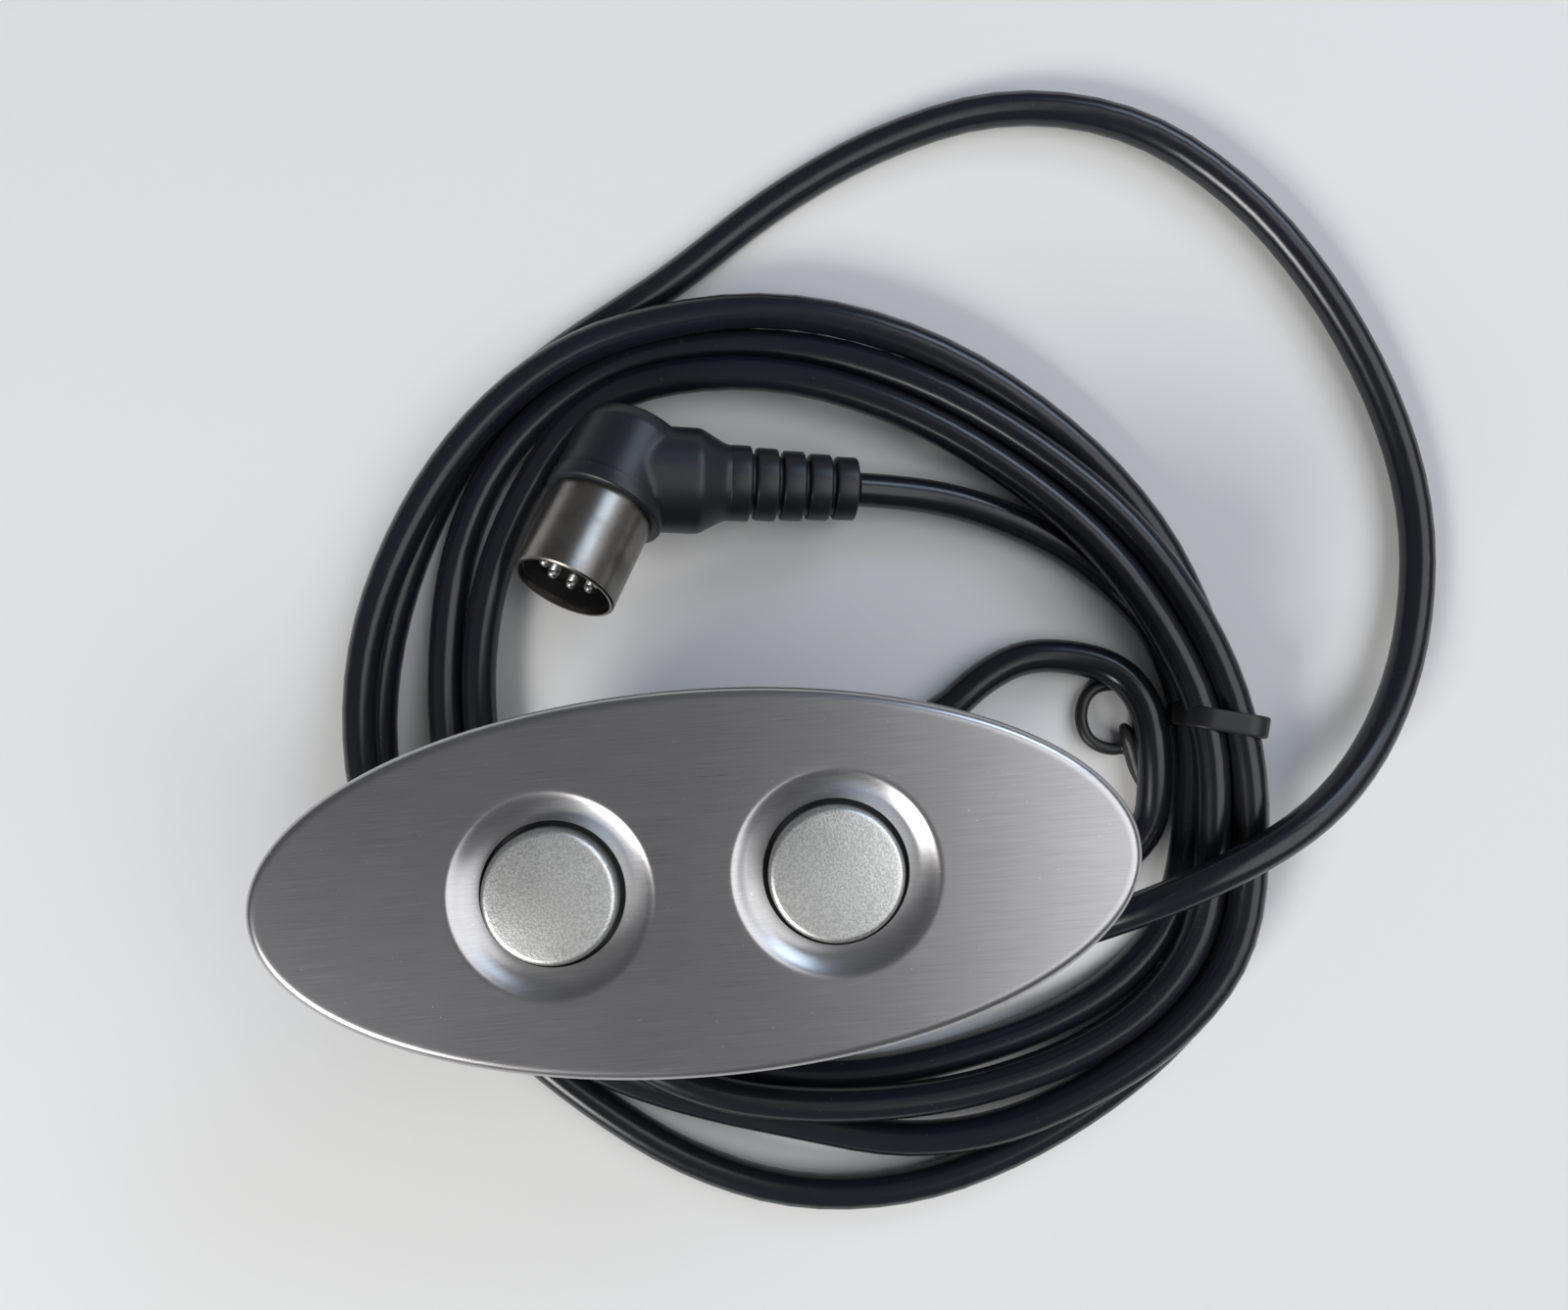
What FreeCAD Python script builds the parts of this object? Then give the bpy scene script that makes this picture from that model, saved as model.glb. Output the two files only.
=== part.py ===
import FreeCAD, Part
import math
import os

import Sketcher

Vector = FreeCAD.Vector
Rotation = FreeCAD.Rotation

# A two-button recliner hand control: an oval stainless face plate over a moulded housing,
# a round cord wound in a loose tied coil, and a moulded angled round plug.
# Millimetres. The origin is under the middle of the housing's flat back, which it rests on.
# X runs along the oval, Z points out of the face.
doc = FreeCAD.newDocument("recliner_hand_control")
sheet = doc.addObject("Spreadsheet::Sheet", "Sizes")

DRIVING = {
    # face plate
    "plate_length": 95.0,
    "plate_width": 41.0,
    "plate_gauge": 1.0,
    "plate_rim_depth": 4.2,
    "plate_rim_radius": 2.0,
    "dish_diameter": 21.2,
    "dish_sphere": 20.0,
    "button_pitch": 30.2,
    "stud_diameter": 3.0,
    "stud_length": 5.2,
    "stud_room": 0.5,
    # buttons
    "cap_diameter": 14.4,
    "cap_gap": 0.4,
    "cap_proud": 1.3,
    "cap_wall": 1.3,
    "cap_top_gauge": 1.4,
    "cap_edge_radius": 0.7,
    "cap_crown": 0.25,
    "flange_overlap": 0.9,
    "plunger_flange_gauge": 1.0,
    "stem_diameter": 5.0,
    "button_travel": 1.6,
    "stop_gap": 0.2,
    # housing, from the rear box upwards
    "box_depth": 14.0,
    "cover_gauge": 3.0,
    "board_room": 1.0,
    "deck_gauge": 2.0,
    "spring_room": 7.86,
    "housing_wall": 2.0,
    "housing_flange_gauge": 2.0,
    "flange_margin": 0.7,
    "cover_lip": 0.9,
    "bush_height": 2.6,
    "bush_wall": 1.2,
    "slide_clearance": 0.06,
    "seat_clearance": 0.15,
    "box_length": 31.0,
    "box_width": 19.0,
    "box_corner": 6.0,
    "cavity_corner": 2.0,
    "box_floor": 2.0,
    "box_wall": 2.0,
    # springs
    "spring_mean_diameter": 11.0,
    "spring_wire": 0.7,
    "spring_turns": 5.0,
    # board and switches
    "board_length": 42.0,
    "board_width": 19.6,
    "board_gauge": 1.6,
    "board_end_gap": 0.5,
    "board_side_gap": 1.7,
    "switch_side": 10.0,
    "switch_height": 4.6,
    "stem_tip_gap": 0.4,
    "press_margin": 0.2,
    "actuator_diameter": 3.4,
    "actuator_length": 3.6,
    "boss_diameter": 5.0,
    "screw_diameter": 2.2,
    "screw_head": 4.0,
    "screw_head_gauge": 1.5,
    "screw_length": 7.0,
    "board_screw_length": 5.0,
    "screw_head_gap": 0.3,
    "cover_screw_edge": 5.0,
    # nuts and panel clips
    "nut_across_flats": 5.5,
    "nut_gauge": 2.2,
    "clip_gauge": 0.5,
    "clip_width": 8.0,
    "clip_drop": 13.0,
    "clip_bulge": 4.0,
    # cord, gland and coil
    "cord_diameter": 4.5,
    "core_diameter": 1.1,
    "gland_offset": -2.8,
    "gland_floor_gap": 0.4,
    "gland_wall": 0.45,
    "gland_step": 0.3,
    "gland_reach": 8.5,
    "coil_height": 9.4,
    "tie_width": 2.1,
    "tie_gauge": 0.9,
    "tie_clearance": 0.05,
    "tie_ring_diameter": 6.4,
    # plug
    "barrel_wall": 1.0,
    "plug_lift": 1.4,
    "plug_barrel_back": 7.5,
    "plug_barrel_front": 4.6,
    "plug_edge_radius": 2.6,
    "neck_step": 0.8,
    "relief_wall": 1.65,
    "relief_taper": 1.0,
    "relief_start": 13.6,
    "relief_end": 30.9,
    "relief_groove": 0.9,
    "shell_diameter": 13.2,
    "shell_gauge": 0.5,
    "shell_mouth": 17.0,
    "pin_circle": 7.0,
    "pin_diameter": 1.5,
    "pin_setback": 1.6,
    "insert_face": 7.0,
}

for row, (word, number) in enumerate(DRIVING.items(), start=1):
    sheet.set("A%d" % row, word)
    sheet.set("B%d" % row, str(number))
    sheet.setAlias("B%d" % row, word)
doc.recompute()


class Size:
    """A length or angle of the sheet, or a sum made of them, as text and as a number."""

    def __init__(self, text, value):
        self.text = text
        self.value = value

    @staticmethod
    def of(other):
        if isinstance(other, Size):
            return other
        return Size("%.9g" % other, float(other))

    def join(self, sign, other, value):
        return Size("(%s %s %s)" % (self.text, sign, other.text), value)

    def __add__(self, other):
        other = Size.of(other)
        return self.join("+", other, self.value + other.value)

    def __radd__(self, other):
        return Size.of(other) + self

    def __sub__(self, other):
        other = Size.of(other)
        return self.join("-", other, self.value - other.value)

    def __rsub__(self, other):
        return Size.of(other) - self

    def __mul__(self, other):
        other = Size.of(other)
        return self.join("*", other, self.value * other.value)

    __rmul__ = __mul__

    def __truediv__(self, other):
        other = Size.of(other)
        return self.join("/", other, self.value / other.value)

    def __neg__(self):
        return self * -1

    def root(self):
        return Size("sqrt(%s)" % self.text, math.sqrt(self.value))

    def larger(self, other):
        text = "max(%s; %s)" % (self.text, other.text)
        return Size(text, max(self.value, other.value))

    def arcsine(self):
        return Size("asin(%s)" % self.text, math.degrees(math.asin(self.value)))


def size(word):
    return Size("Sizes." + word, float(sheet.get(word)))


plate_length = size("plate_length")
plate_width = size("plate_width")
plate_gauge = size("plate_gauge")
rim_depth = size("plate_rim_depth")
rim_radius = size("plate_rim_radius")
button_x = size("button_pitch") / 2
stud_diameter = size("stud_diameter")
dish_radius = size("dish_diameter") / 2
dish_sphere = size("dish_sphere")
cap_radius = size("cap_diameter") / 2
hole_radius = cap_radius + size("cap_gap")

# heights, from the floor up to the plunger's flange
cover_bottom = size("box_depth")
cover_top = cover_bottom + size("cover_gauge")
board_bottom = cover_top + size("board_room")
board_top = board_bottom + size("board_gauge")
switch_top = board_top + size("switch_height")
press_room = size("button_travel") + size("press_margin")
stem_bottom = switch_top + press_room
deck_bottom = stem_bottom + size("stem_tip_gap")
deck_top = deck_bottom + size("deck_gauge")
bush_top = deck_top + size("bush_height")
flange_bottom = deck_top + size("spring_room")
flange_top = flange_bottom + size("plunger_flange_gauge")

# The flange stops against the underside of the dish, which is part of a sphere whose
# centre lies above the plate.
dish_lip = flange_top + size("stop_gap") + plate_gauge
dish_centre = dish_lip + (dish_sphere * dish_sphere - hole_radius * hole_radius).root()
dish_rise = (dish_sphere * dish_sphere - dish_radius * dish_radius).root()
plate_top = dish_centre - dish_rise
plate_under = plate_top - plate_gauge
cap_top = plate_top + size("cap_proud")
housing_flange_bottom = plate_under - size("housing_flange_gauge")

# The cover's screws stand clear of the board and the switches, and the housing holds them.
boss_radius = size("boss_diameter") / 2
board_end = (size("board_length") / 2).larger(button_x + size("switch_side") / 2)
cover_screw_x = board_end + size("board_end_gap") + boss_radius
housing_wall = size("housing_wall")
housing_length = 2 * (cover_screw_x + size("cover_screw_edge"))
housing_width = size("board_width") + 2 * (size("board_side_gap") + housing_wall)
cavity_length = housing_length - 2 * housing_wall
cavity_width = housing_width - 2 * housing_wall
board_screw_y = (
    size("box_width") / 2
    - size("box_wall")
    - size("screw_head") / 2
    - size("screw_head_gap")
)

# the plate's studs and their nuts stand outside the panel clips
nut_radius = size("nut_across_flats") / (2 * math.cos(math.pi / 6))
clip_shoulder = size("clip_gauge") + 0.45 * size("clip_bulge")
stud_x = housing_length / 2 + clip_shoulder + nut_radius + size("stud_room")

stem_radius = size("stem_diameter") / 2
bore_radius = stem_radius + size("slide_clearance")
bush_radius = bore_radius + size("bush_wall")
actuator_radius = size("actuator_diameter") / 2

cord_radius = size("cord_diameter") / 2
box_end = size("box_length") / 2
gland_tip = cord_radius + size("gland_wall")
gland_root = gland_tip + size("gland_step")
gland_height = size("box_floor") + gland_root + size("gland_floor_gap")
shell_radius = size("shell_diameter") / 2
barrel_radius = shell_radius + size("barrel_wall")


def number(word):
    return float(sheet.get(word))


def place(item, x=0, y=0, z=0):
    for axis, value in (("x", x), ("y", y), ("z", z)):
        item.setExpression("Placement.Base." + axis, Size.of(value).text)
    return item


def cylinder(name, radius, height, x=0, y=0, z=0):
    item = doc.addObject("Part::Cylinder", name)
    item.setExpression("Radius", Size.of(radius).text)
    item.setExpression("Height", Size.of(height).text)
    return place(item, x, y, z)


def block(name, length, width, height, x=0, y=0, z=0):
    """A box whose bottom face is centred on x, y, z."""
    length, width = Size.of(length), Size.of(width)
    item = doc.addObject("Part::Box", name)
    item.setExpression("Length", length.text)
    item.setExpression("Width", width.text)
    item.setExpression("Height", Size.of(height).text)
    return place(item, x - length / 2, y - width / 2, z)


def cut(name, base, tool):
    item = doc.addObject("Part::Cut", name)
    item.Base = base
    item.Tool = tool
    return item


def fuse(name, *shapes):
    item = doc.addObject("Part::MultiFuse", name)
    item.Shapes = list(shapes)
    return item


def plain(name, shape, placement=None):
    item = doc.addObject("Part::Feature", name)
    item.Shape = shape
    if placement:
        item.Placement = placement
    return item


def body(name):
    item = doc.addObject("PartDesign::Body", name)
    item.Label = name
    return item


def origin_item(owner, role):
    return [item for item in owner.Origin.OriginFeatures if item.Role == role][0]


def sketch(owner, name, plane="XY_Plane", x=0, y=0, z=0):
    """A sketch on one of the body's own origin planes, moved by x, y, z in that plane's frame."""
    item = owner.newObject("Sketcher::SketchObject", name)
    item.AttachmentSupport = [(origin_item(owner, plane), "")]
    item.MapMode = "FlatFace"
    for axis, value in (("x", x), ("y", y), ("z", z)):
        item.setExpression("AttachmentOffset.Base." + axis, Size.of(value).text)
    return item


def hold(item, kind, *where, value):
    """Adds a driven-by-sheet constraint to a sketch."""
    value = Size.of(value)
    index = item.addConstraint(Sketcher.Constraint(kind, *where, value.value))
    word = "size_%d" % index
    item.renameConstraint(index, word)
    item.setExpression("Constraints." + word, value.text)


def circle(item, radius, x=0, y=0):
    radius, x, y = Size.of(radius), Size.of(x), Size.of(y)
    centre = Vector(x.value, y.value, 0)
    index = item.addGeometry(Part.Circle(centre, Vector(0, 0, 1), radius.value), False)
    hold(item, "DistanceX", -1, 1, index, 3, value=x)
    hold(item, "DistanceY", -1, 1, index, 3, value=y)
    hold(item, "Radius", index, value=radius)


def oval(item, length, width):
    """An ellipse on the sketch's origin, long axis along x."""
    major, minor = Vector(length.value / 2, 0, 0), Vector(0, width.value / 2, 0)
    index = item.addGeometry(Part.Ellipse(major, minor, Vector(0, 0, 0)), False)
    item.exposeInternalGeometry(index)
    item.addConstraint(Sketcher.Constraint("Coincident", index, 3, -1, 1))
    item.addConstraint(Sketcher.Constraint("Horizontal", index + 1))
    hold(item, "Distance", index + 1, value=length)
    hold(item, "Distance", index + 2, value=width)


def polygon(item, corners):
    """A closed run of straight edges through corners given as pairs of sizes."""
    corners = [(Size.of(x), Size.of(y)) for x, y in corners]
    points = [Vector(x.value, y.value, 0) for x, y in corners]
    lines = [
        item.addGeometry(Part.LineSegment(a, b), False)
        for a, b in zip(points, points[1:] + points[:1])
    ]
    for here, after in zip(lines, lines[1:] + lines[:1]):
        item.addConstraint(Sketcher.Constraint("Coincident", here, 2, after, 1))
    for line, (x, y) in zip(lines, corners):
        hold(item, "DistanceX", -1, 1, line, 1, value=x)
        hold(item, "DistanceY", -1, 1, line, 1, value=y)


def rounded(item, length, width, corner):
    """A rectangle with round corners on the sketch's origin; a stadium where they meet."""
    length, width, corner = Size.of(length), Size.of(width), Size.of(corner)
    a, b, c = length.value / 2, width.value / 2, corner.value
    centres = [(a - c, b - c), (c - a, b - c), (c - a, c - b), (a - c, c - b)]
    arcs = []
    for turn, (x, y) in enumerate(centres):
        arc = Part.ArcOfCircle(
            Part.Circle(Vector(x, y, 0), Vector(0, 0, 1), c),
            math.radians(90 * turn),
            math.radians(90 * turn + 90),
        )
        arcs.append(item.addGeometry(arc, False))
    ends = [
        (Vector(a - c, b, 0), Vector(c - a, b, 0)),
        (Vector(-a, b - c, 0), Vector(-a, c - b, 0)),
        (Vector(c - a, -b, 0), Vector(a - c, -b, 0)),
        (Vector(a, c - b, 0), Vector(a, b - c, 0)),
    ]
    for turn, (start, end) in enumerate(ends):
        line = item.addGeometry(Part.LineSegment(start, end), False)
        after = arcs[(turn + 1) % 4]
        item.addConstraint(Sketcher.Constraint("Tangent", arcs[turn], 2, line, 1))
        item.addConstraint(Sketcher.Constraint("Tangent", line, 2, after, 1))
        straight = "Horizontal" if turn % 2 == 0 else "Vertical"
        item.addConstraint(Sketcher.Constraint(straight, line))
    item.addConstraint(Sketcher.Constraint("Equal", arcs[0], arcs[1]))
    item.addConstraint(Sketcher.Constraint("Equal", arcs[0], arcs[2]))
    hold(item, "Radius", arcs[0], value=corner)
    hold(item, "DistanceX", -1, 1, arcs[0], 3, value=length / 2 - corner)
    hold(item, "DistanceY", -1, 1, arcs[0], 3, value=width / 2 - corner)
    hold(item, "DistanceX", arcs[2], 3, -1, 1, value=length / 2 - corner)
    hold(item, "DistanceY", arcs[2], 3, -1, 1, value=width / 2 - corner)


def stadium(item, length, width):
    """Two half circles joined by straight sides, on the sketch's origin."""
    length, width = Size.of(length), Size.of(width)
    reach = (length - width) / 2
    radius = width.value / 2
    arcs = []
    for side, start in ((1, -math.pi / 2), (-1, math.pi / 2)):
        round_end = Part.Circle(
            Vector(side * reach.value, 0, 0), Vector(0, 0, 1), radius
        )
        arc = Part.ArcOfCircle(round_end, start, start + math.pi)
        arcs.append(item.addGeometry(arc, False))
    for here, after, side in ((arcs[0], arcs[1], 1), (arcs[1], arcs[0], -1)):
        start = Vector(side * reach.value, side * radius, 0)
        end = Vector(-side * reach.value, side * radius, 0)
        line = item.addGeometry(Part.LineSegment(start, end), False)
        item.addConstraint(Sketcher.Constraint("Tangent", here, 2, line, 1))
        item.addConstraint(Sketcher.Constraint("Tangent", line, 2, after, 1))
        item.addConstraint(Sketcher.Constraint("Horizontal", line))
    hold(item, "Radius", arcs[0], value=width / 2)
    hold(item, "DistanceX", -1, 1, arcs[0], 3, value=reach)
    hold(item, "DistanceY", -1, 1, arcs[0], 3, value=0)
    hold(item, "DistanceX", arcs[1], 3, -1, 1, value=reach)


def pad(owner, name, profile, length, down=False):
    item = owner.newObject("PartDesign::Pad", name)
    item.Profile = profile
    item.setExpression("Length", Size.of(length).text)
    item.Reversed = down
    return item


def pocket(owner, name, profile, length, up=False):
    """A cut from the sketch downwards, or upwards."""
    doc.recompute()
    before = owner.Shape.Volume
    item = owner.newObject("PartDesign::Pocket", name)
    item.Profile = profile
    item.setExpression("Length", Size.of(length).text)
    item.Reversed = up
    doc.recompute()
    if owner.Shape.Volume >= before:
        raise RuntimeError(name + " cuts nothing")
    return item


def spin(owner, name, profile):
    """A solid of revolution about the sketch's upright axis."""
    item = owner.newObject("PartDesign::Revolution", name)
    item.Profile = profile
    item.ReferenceAxis = (profile, ["V_Axis"])
    item.Angle = 360
    return item


def fillet(owner, name, base, radius, chosen):
    """Rounds the edges of a feature for which chosen(edge) is true."""
    doc.recompute()
    edges = [
        "Edge%d" % (n + 1) for n, edge in enumerate(base.Shape.Edges) if chosen(edge)
    ]
    if not edges:
        raise RuntimeError(name + " finds no edge")
    item = owner.newObject("PartDesign::Fillet", name)
    item.Base = (base, edges)
    item.setExpression("Radius", Size.of(radius).text)
    return item


def level(height):
    """Tells whether an edge lies flat at a height."""
    return lambda edge: (
        abs(edge.BoundBox.ZMin - height.value) < 1e-4
        and abs(edge.BoundBox.ZMax - height.value) < 1e-4
    )


def face_plate():
    """A pressed sheet: oval, rim turned down, two dished recesses with holes, two studs."""
    plate = body("face_plate")
    outline = sketch(plate, "plate_outline", z=plate_top - rim_depth)
    oval(outline, plate_length, plate_width)
    blank = pad(plate, "plate_blank", outline, rim_depth)
    fillet(plate, "plate_rim", blank, rim_radius, level(plate_top))
    inside = sketch(plate, "plate_inside", z=plate_top - rim_depth)
    oval(inside, plate_length - 2 * plate_gauge, plate_width - 2 * plate_gauge)
    hollow = pocket(plate, "plate_hollow", inside, rim_depth - plate_gauge, up=True)
    fillet(
        plate, "plate_inner_rim", hollow, rim_radius - plate_gauge, level(plate_under)
    )
    outer = dish_sphere + plate_gauge
    latitude = ((dish_rise + plate_gauge) / outer).arcsine()
    back = plate.newObject("PartDesign::AdditiveSphere", "dish_back")
    back.setExpression("Radius", outer.text)
    back.Angle1 = -90
    back.setExpression("Angle2", (-latitude).text)
    front = plate.newObject("PartDesign::SubtractiveSphere", "dish_front")
    front.setExpression("Radius", dish_sphere.text)
    for ball in (back, front):
        ball.AttachmentSupport = [(origin_item(plate, "XY_Plane"), "")]
        ball.MapMode = "FlatFace"
        ball.setExpression("AttachmentOffset.Base.x", button_x.text)
        ball.setExpression("AttachmentOffset.Base.z", dish_centre.text)
    hole = sketch(plate, "button_hole", z=plate_top)
    circle(hole, hole_radius, button_x)
    through = dish_sphere - dish_rise + 2 * plate_gauge
    opening = pocket(plate, "button_opening", hole, through)
    stud_mark = sketch(plate, "stud_mark", z=plate_under + plate_gauge / 2)
    circle(stud_mark, stud_diameter / 2, stud_x)
    stud = pad(
        plate, "stud", stud_mark, size("stud_length") + plate_gauge / 2, down=True
    )
    pair = plate.newObject("PartDesign::Mirrored", "both_dishes")
    pair.Originals = [back, front, opening, stud]
    pair.MirrorPlane = (origin_item(plate, "YZ_Plane"), [""])
    plate.Tip = pair
    return plate


def button(side, x):
    """A turned metal cap pressed on a moulded plunger, whose stem works a switch."""
    cap = body(side + "_button_cap")
    profile = sketch(cap, side + "_cap_profile", "XZ_Plane")
    inside = cap_radius - size("cap_wall")
    roof = cap_top - size("cap_top_gauge")
    edge = size("cap_edge_radius")
    crown = size("cap_crown")
    polygon(
        profile,
        [
            (0, roof),
            (inside, roof),
            (inside, flange_top),
            (cap_radius, flange_top),
            (cap_radius, cap_top - crown - edge),
            (cap_radius - 0.3 * edge, cap_top - crown - 0.3 * edge),
            (cap_radius - edge, cap_top - crown),
            (cap_radius * 0.5, cap_top - 0.25 * crown),
            (0, cap_top),
        ],
    )
    spin(cap, side + "_cap_turned", profile)
    place(cap, x)

    plunger = body(side + "_plunger")
    profile = sketch(plunger, side + "_plunger_profile", "XZ_Plane")
    spigot = inside - 0.02
    reach = hole_radius + size("flange_overlap")
    polygon(
        profile,
        [
            (0, stem_bottom),
            (stem_radius, stem_bottom),
            (stem_radius, flange_bottom),
            (reach, flange_bottom),
            (reach, flange_top),
            (spigot, flange_top),
            (spigot, roof - 0.1),
            (0, roof - 0.1),
        ],
    )
    spin(plunger, side + "_plunger_turned", profile)
    place(plunger, x)

    actuator = cylinder(
        side + "_switch_actuator",
        actuator_radius,
        size("actuator_length"),
        x,
        0,
        stem_bottom - size("actuator_length"),
    )
    return cap, plunger, actuator


def spring(side, x):
    """A compression spring between the deck and the plunger's flange, ends ground flat."""
    wire = number("spring_wire")
    radius = number("spring_mean_diameter") / 2
    floor = deck_top.value
    room = flange_bottom.value - floor
    turns = number("spring_turns")
    rise = room - wire
    helix = Part.makeHelix(rise / turns, rise, radius)
    start = Part.Wire(Part.makeCircle(wire / 2, Vector(radius, 0, 0), Vector(0, 1, 0)))
    coil = Part.Wire(helix.Edges).makePipeShell([start], True, True)
    return plain(
        side + "_return_spring",
        coil,
        FreeCAD.Placement(Vector(x.value, 0, floor + wire / 2), Rotation()),
    )


def front_housing():
    """The moulded housing: flange under the plate, walls, deck with guide bushes, bosses."""
    housing = body("front_housing")
    margin = plate_gauge + size("flange_margin")
    rim = sketch(housing, "flange_outline", z=housing_flange_bottom)
    oval(rim, plate_length - 2 * margin, plate_width - 2 * margin)
    flange = pad(housing, "mounting_flange", rim, size("housing_flange_gauge"))
    fillet(housing, "flange_edge", flange, rim_radius - plate_gauge, level(plate_under))
    wall = sketch(housing, "wall_outline", z=cover_top)
    stadium(wall, housing_length, housing_width)
    pad(housing, "walls", wall, plate_under - cover_top)
    lower = sketch(housing, "lower_cavity_outline", z=cover_top)
    stadium(lower, cavity_length, cavity_width)
    pocket(housing, "lower_cavity", lower, deck_bottom - cover_top, up=True)
    upper = sketch(housing, "upper_cavity_outline", z=plate_under)
    stadium(upper, cavity_length, cavity_width)
    pocket(housing, "upper_cavity", upper, plate_under - deck_top)
    bushes = sketch(housing, "bush_outline", z=deck_top)
    for x in (-button_x, button_x):
        circle(bushes, bush_radius, x)
    pad(housing, "guide_bushes", bushes, size("bush_height"))
    bores = sketch(housing, "bush_bores", z=bush_top)
    for x in (-button_x, button_x):
        circle(bores, bore_radius, x)
    pocket(housing, "guide_bores", bores, bush_top - deck_bottom)
    posts = sketch(housing, "board_posts_outline", z=board_top)
    for y in (-board_screw_y, board_screw_y):
        circle(posts, boss_radius, 0, y)
    pad(housing, "board_posts", posts, deck_bottom - board_top)
    bosses = sketch(housing, "cover_bosses_outline", z=cover_top + size("cover_lip"))
    for x in (-cover_screw_x, cover_screw_x):
        circle(bosses, boss_radius, x)
    pad(
        housing,
        "cover_bosses",
        bosses,
        deck_bottom - cover_top - size("cover_lip"),
    )
    pilots = sketch(housing, "pilot_holes", z=board_top)
    for y in (-board_screw_y, board_screw_y):
        circle(pilots, size("screw_diameter") / 2, 0, y)
    pocket(housing, "board_pilots", pilots, deck_bottom - board_top, up=True)
    taps = sketch(housing, "cover_pilot_holes", z=cover_top)
    for x in (-cover_screw_x, cover_screw_x):
        circle(taps, size("screw_diameter") / 2, x)
    pocket(housing, "cover_pilots", taps, size("screw_length"), up=True)
    ways = sketch(housing, "stud_ways", z=plate_under)
    for x in (-stud_x, stud_x):
        circle(ways, stud_diameter / 2 + size("seat_clearance"), x)
    pocket(housing, "stud_holes", ways, size("housing_flange_gauge"))
    return housing


def rear_cover():
    """The rear cover: a plate that closes the housing, and a narrower box for the cord."""
    cover = body("rear_cover")
    lid = sketch(cover, "lid_outline", z=cover_bottom)
    stadium(lid, housing_length, housing_width)
    pad(cover, "lid", lid, size("cover_gauge"))
    lip = sketch(cover, "lip_outline", z=cover_top)
    inset = size("seat_clearance")
    stadium(lip, cavity_length - 2 * inset, cavity_width - 2 * inset)
    pad(cover, "locating_lip", lip, size("cover_lip") - inset)
    shell = sketch(cover, "box_outline", z=0)
    rounded(shell, size("box_length"), size("box_width"), size("box_corner"))
    pad(cover, "rear_box", shell, cover_bottom)
    hollow = sketch(cover, "box_cavity_outline", z=cover_top + size("cover_lip"))
    wall = size("box_wall")
    rounded(
        hollow,
        size("box_length") - 2 * wall,
        size("box_width") - 2 * wall,
        size("cavity_corner"),
    )
    pocket(
        cover,
        "box_cavity",
        hollow,
        cover_top + size("cover_lip") - size("box_floor"),
    )
    exit_hole = sketch(
        cover, "gland_seat", "YZ_Plane", size("gland_offset"), gland_height
    )
    exit_hole.setExpression("AttachmentOffset.Base.z", (box_end + 1).text)
    circle(exit_hole, gland_tip + size("seat_clearance"))
    pocket(cover, "gland_hole", exit_hole, wall + 2)
    ways = sketch(cover, "screw_ways", z=cover_bottom)
    for x in (-cover_screw_x, cover_screw_x):
        circle(ways, size("screw_diameter") / 2 + size("seat_clearance"), x)
    pocket(cover, "screw_holes", ways, size("cover_gauge") + size("cover_lip"), up=True)
    return cover


def circuit_board():
    """The board, held up against the posts, with holes for its two screws."""
    board = block(
        "board_blank",
        size("board_length"),
        size("board_width"),
        size("board_gauge"),
        0,
        0,
        board_bottom,
    )
    holes = [
        cylinder(
            "board_hole_%d" % n,
            size("screw_diameter") / 2 + size("seat_clearance"),
            size("board_gauge") + 2,
            0,
            side * board_screw_y,
            board_bottom - 1,
        )
        for n, side in enumerate((-1, 1))
    ]
    return cut("circuit_board", board, fuse("board_holes", *holes))


def switch_body(side, x):
    """A square push switch with a round well for its actuator."""
    case = block(
        side + "_switch_case",
        size("switch_side"),
        size("switch_side"),
        size("switch_height"),
        x,
        0,
        board_top,
    )
    well_floor = stem_bottom - size("actuator_length") - press_room
    well = cylinder(
        side + "_switch_well",
        actuator_radius + size("slide_clearance"),
        switch_top - well_floor + 1,
        x,
        0,
        well_floor,
    )
    return cut(side + "_switch_body", case, well)


def screw(name, x, y, seat, length):
    """A pan-head screw put in from below, its head under the seat."""
    head = cylinder(
        name + "_head",
        size("screw_head") / 2,
        size("screw_head_gauge"),
        x,
        y,
        seat - size("screw_head_gauge"),
    )
    shank = cylinder(
        name + "_shank", size("screw_diameter") / 2 - 0.02, length, x, y, seat
    )
    return fuse(name, head, shank)


def fasteners():
    cover_screws = [
        screw(
            "cover_screw_%d" % n,
            side * cover_screw_x,
            0,
            cover_bottom,
            size("screw_length"),
        )
        for n, side in enumerate((-1, 1), start=1)
    ]
    board_screws = [
        screw(
            "board_screw_%d" % n,
            0,
            side * board_screw_y,
            board_bottom,
            size("board_screw_length"),
        )
        for n, side in enumerate((-1, 1), start=1)
    ]
    nuts = []
    for n, side in enumerate((-1, 1), start=1):
        blank = doc.addObject("Part::Prism", "nut_blank_%d" % n)
        blank.Polygon = 6
        blank.setExpression("Circumradius", nut_radius.text)
        blank.setExpression("Height", size("nut_gauge").text)
        nut_bottom = housing_flange_bottom - size("nut_gauge")
        place(blank, side * stud_x, 0, nut_bottom)
        bore = cylinder(
            "nut_bore_%d" % n,
            stud_diameter / 2 + 0.02,
            size("nut_gauge") + 2,
            side * stud_x,
            0,
            nut_bottom - 1,
        )
        nuts.append(cut("stud_nut_%d" % n, blank, bore))
    return cover_screws + board_screws + nuts


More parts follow.
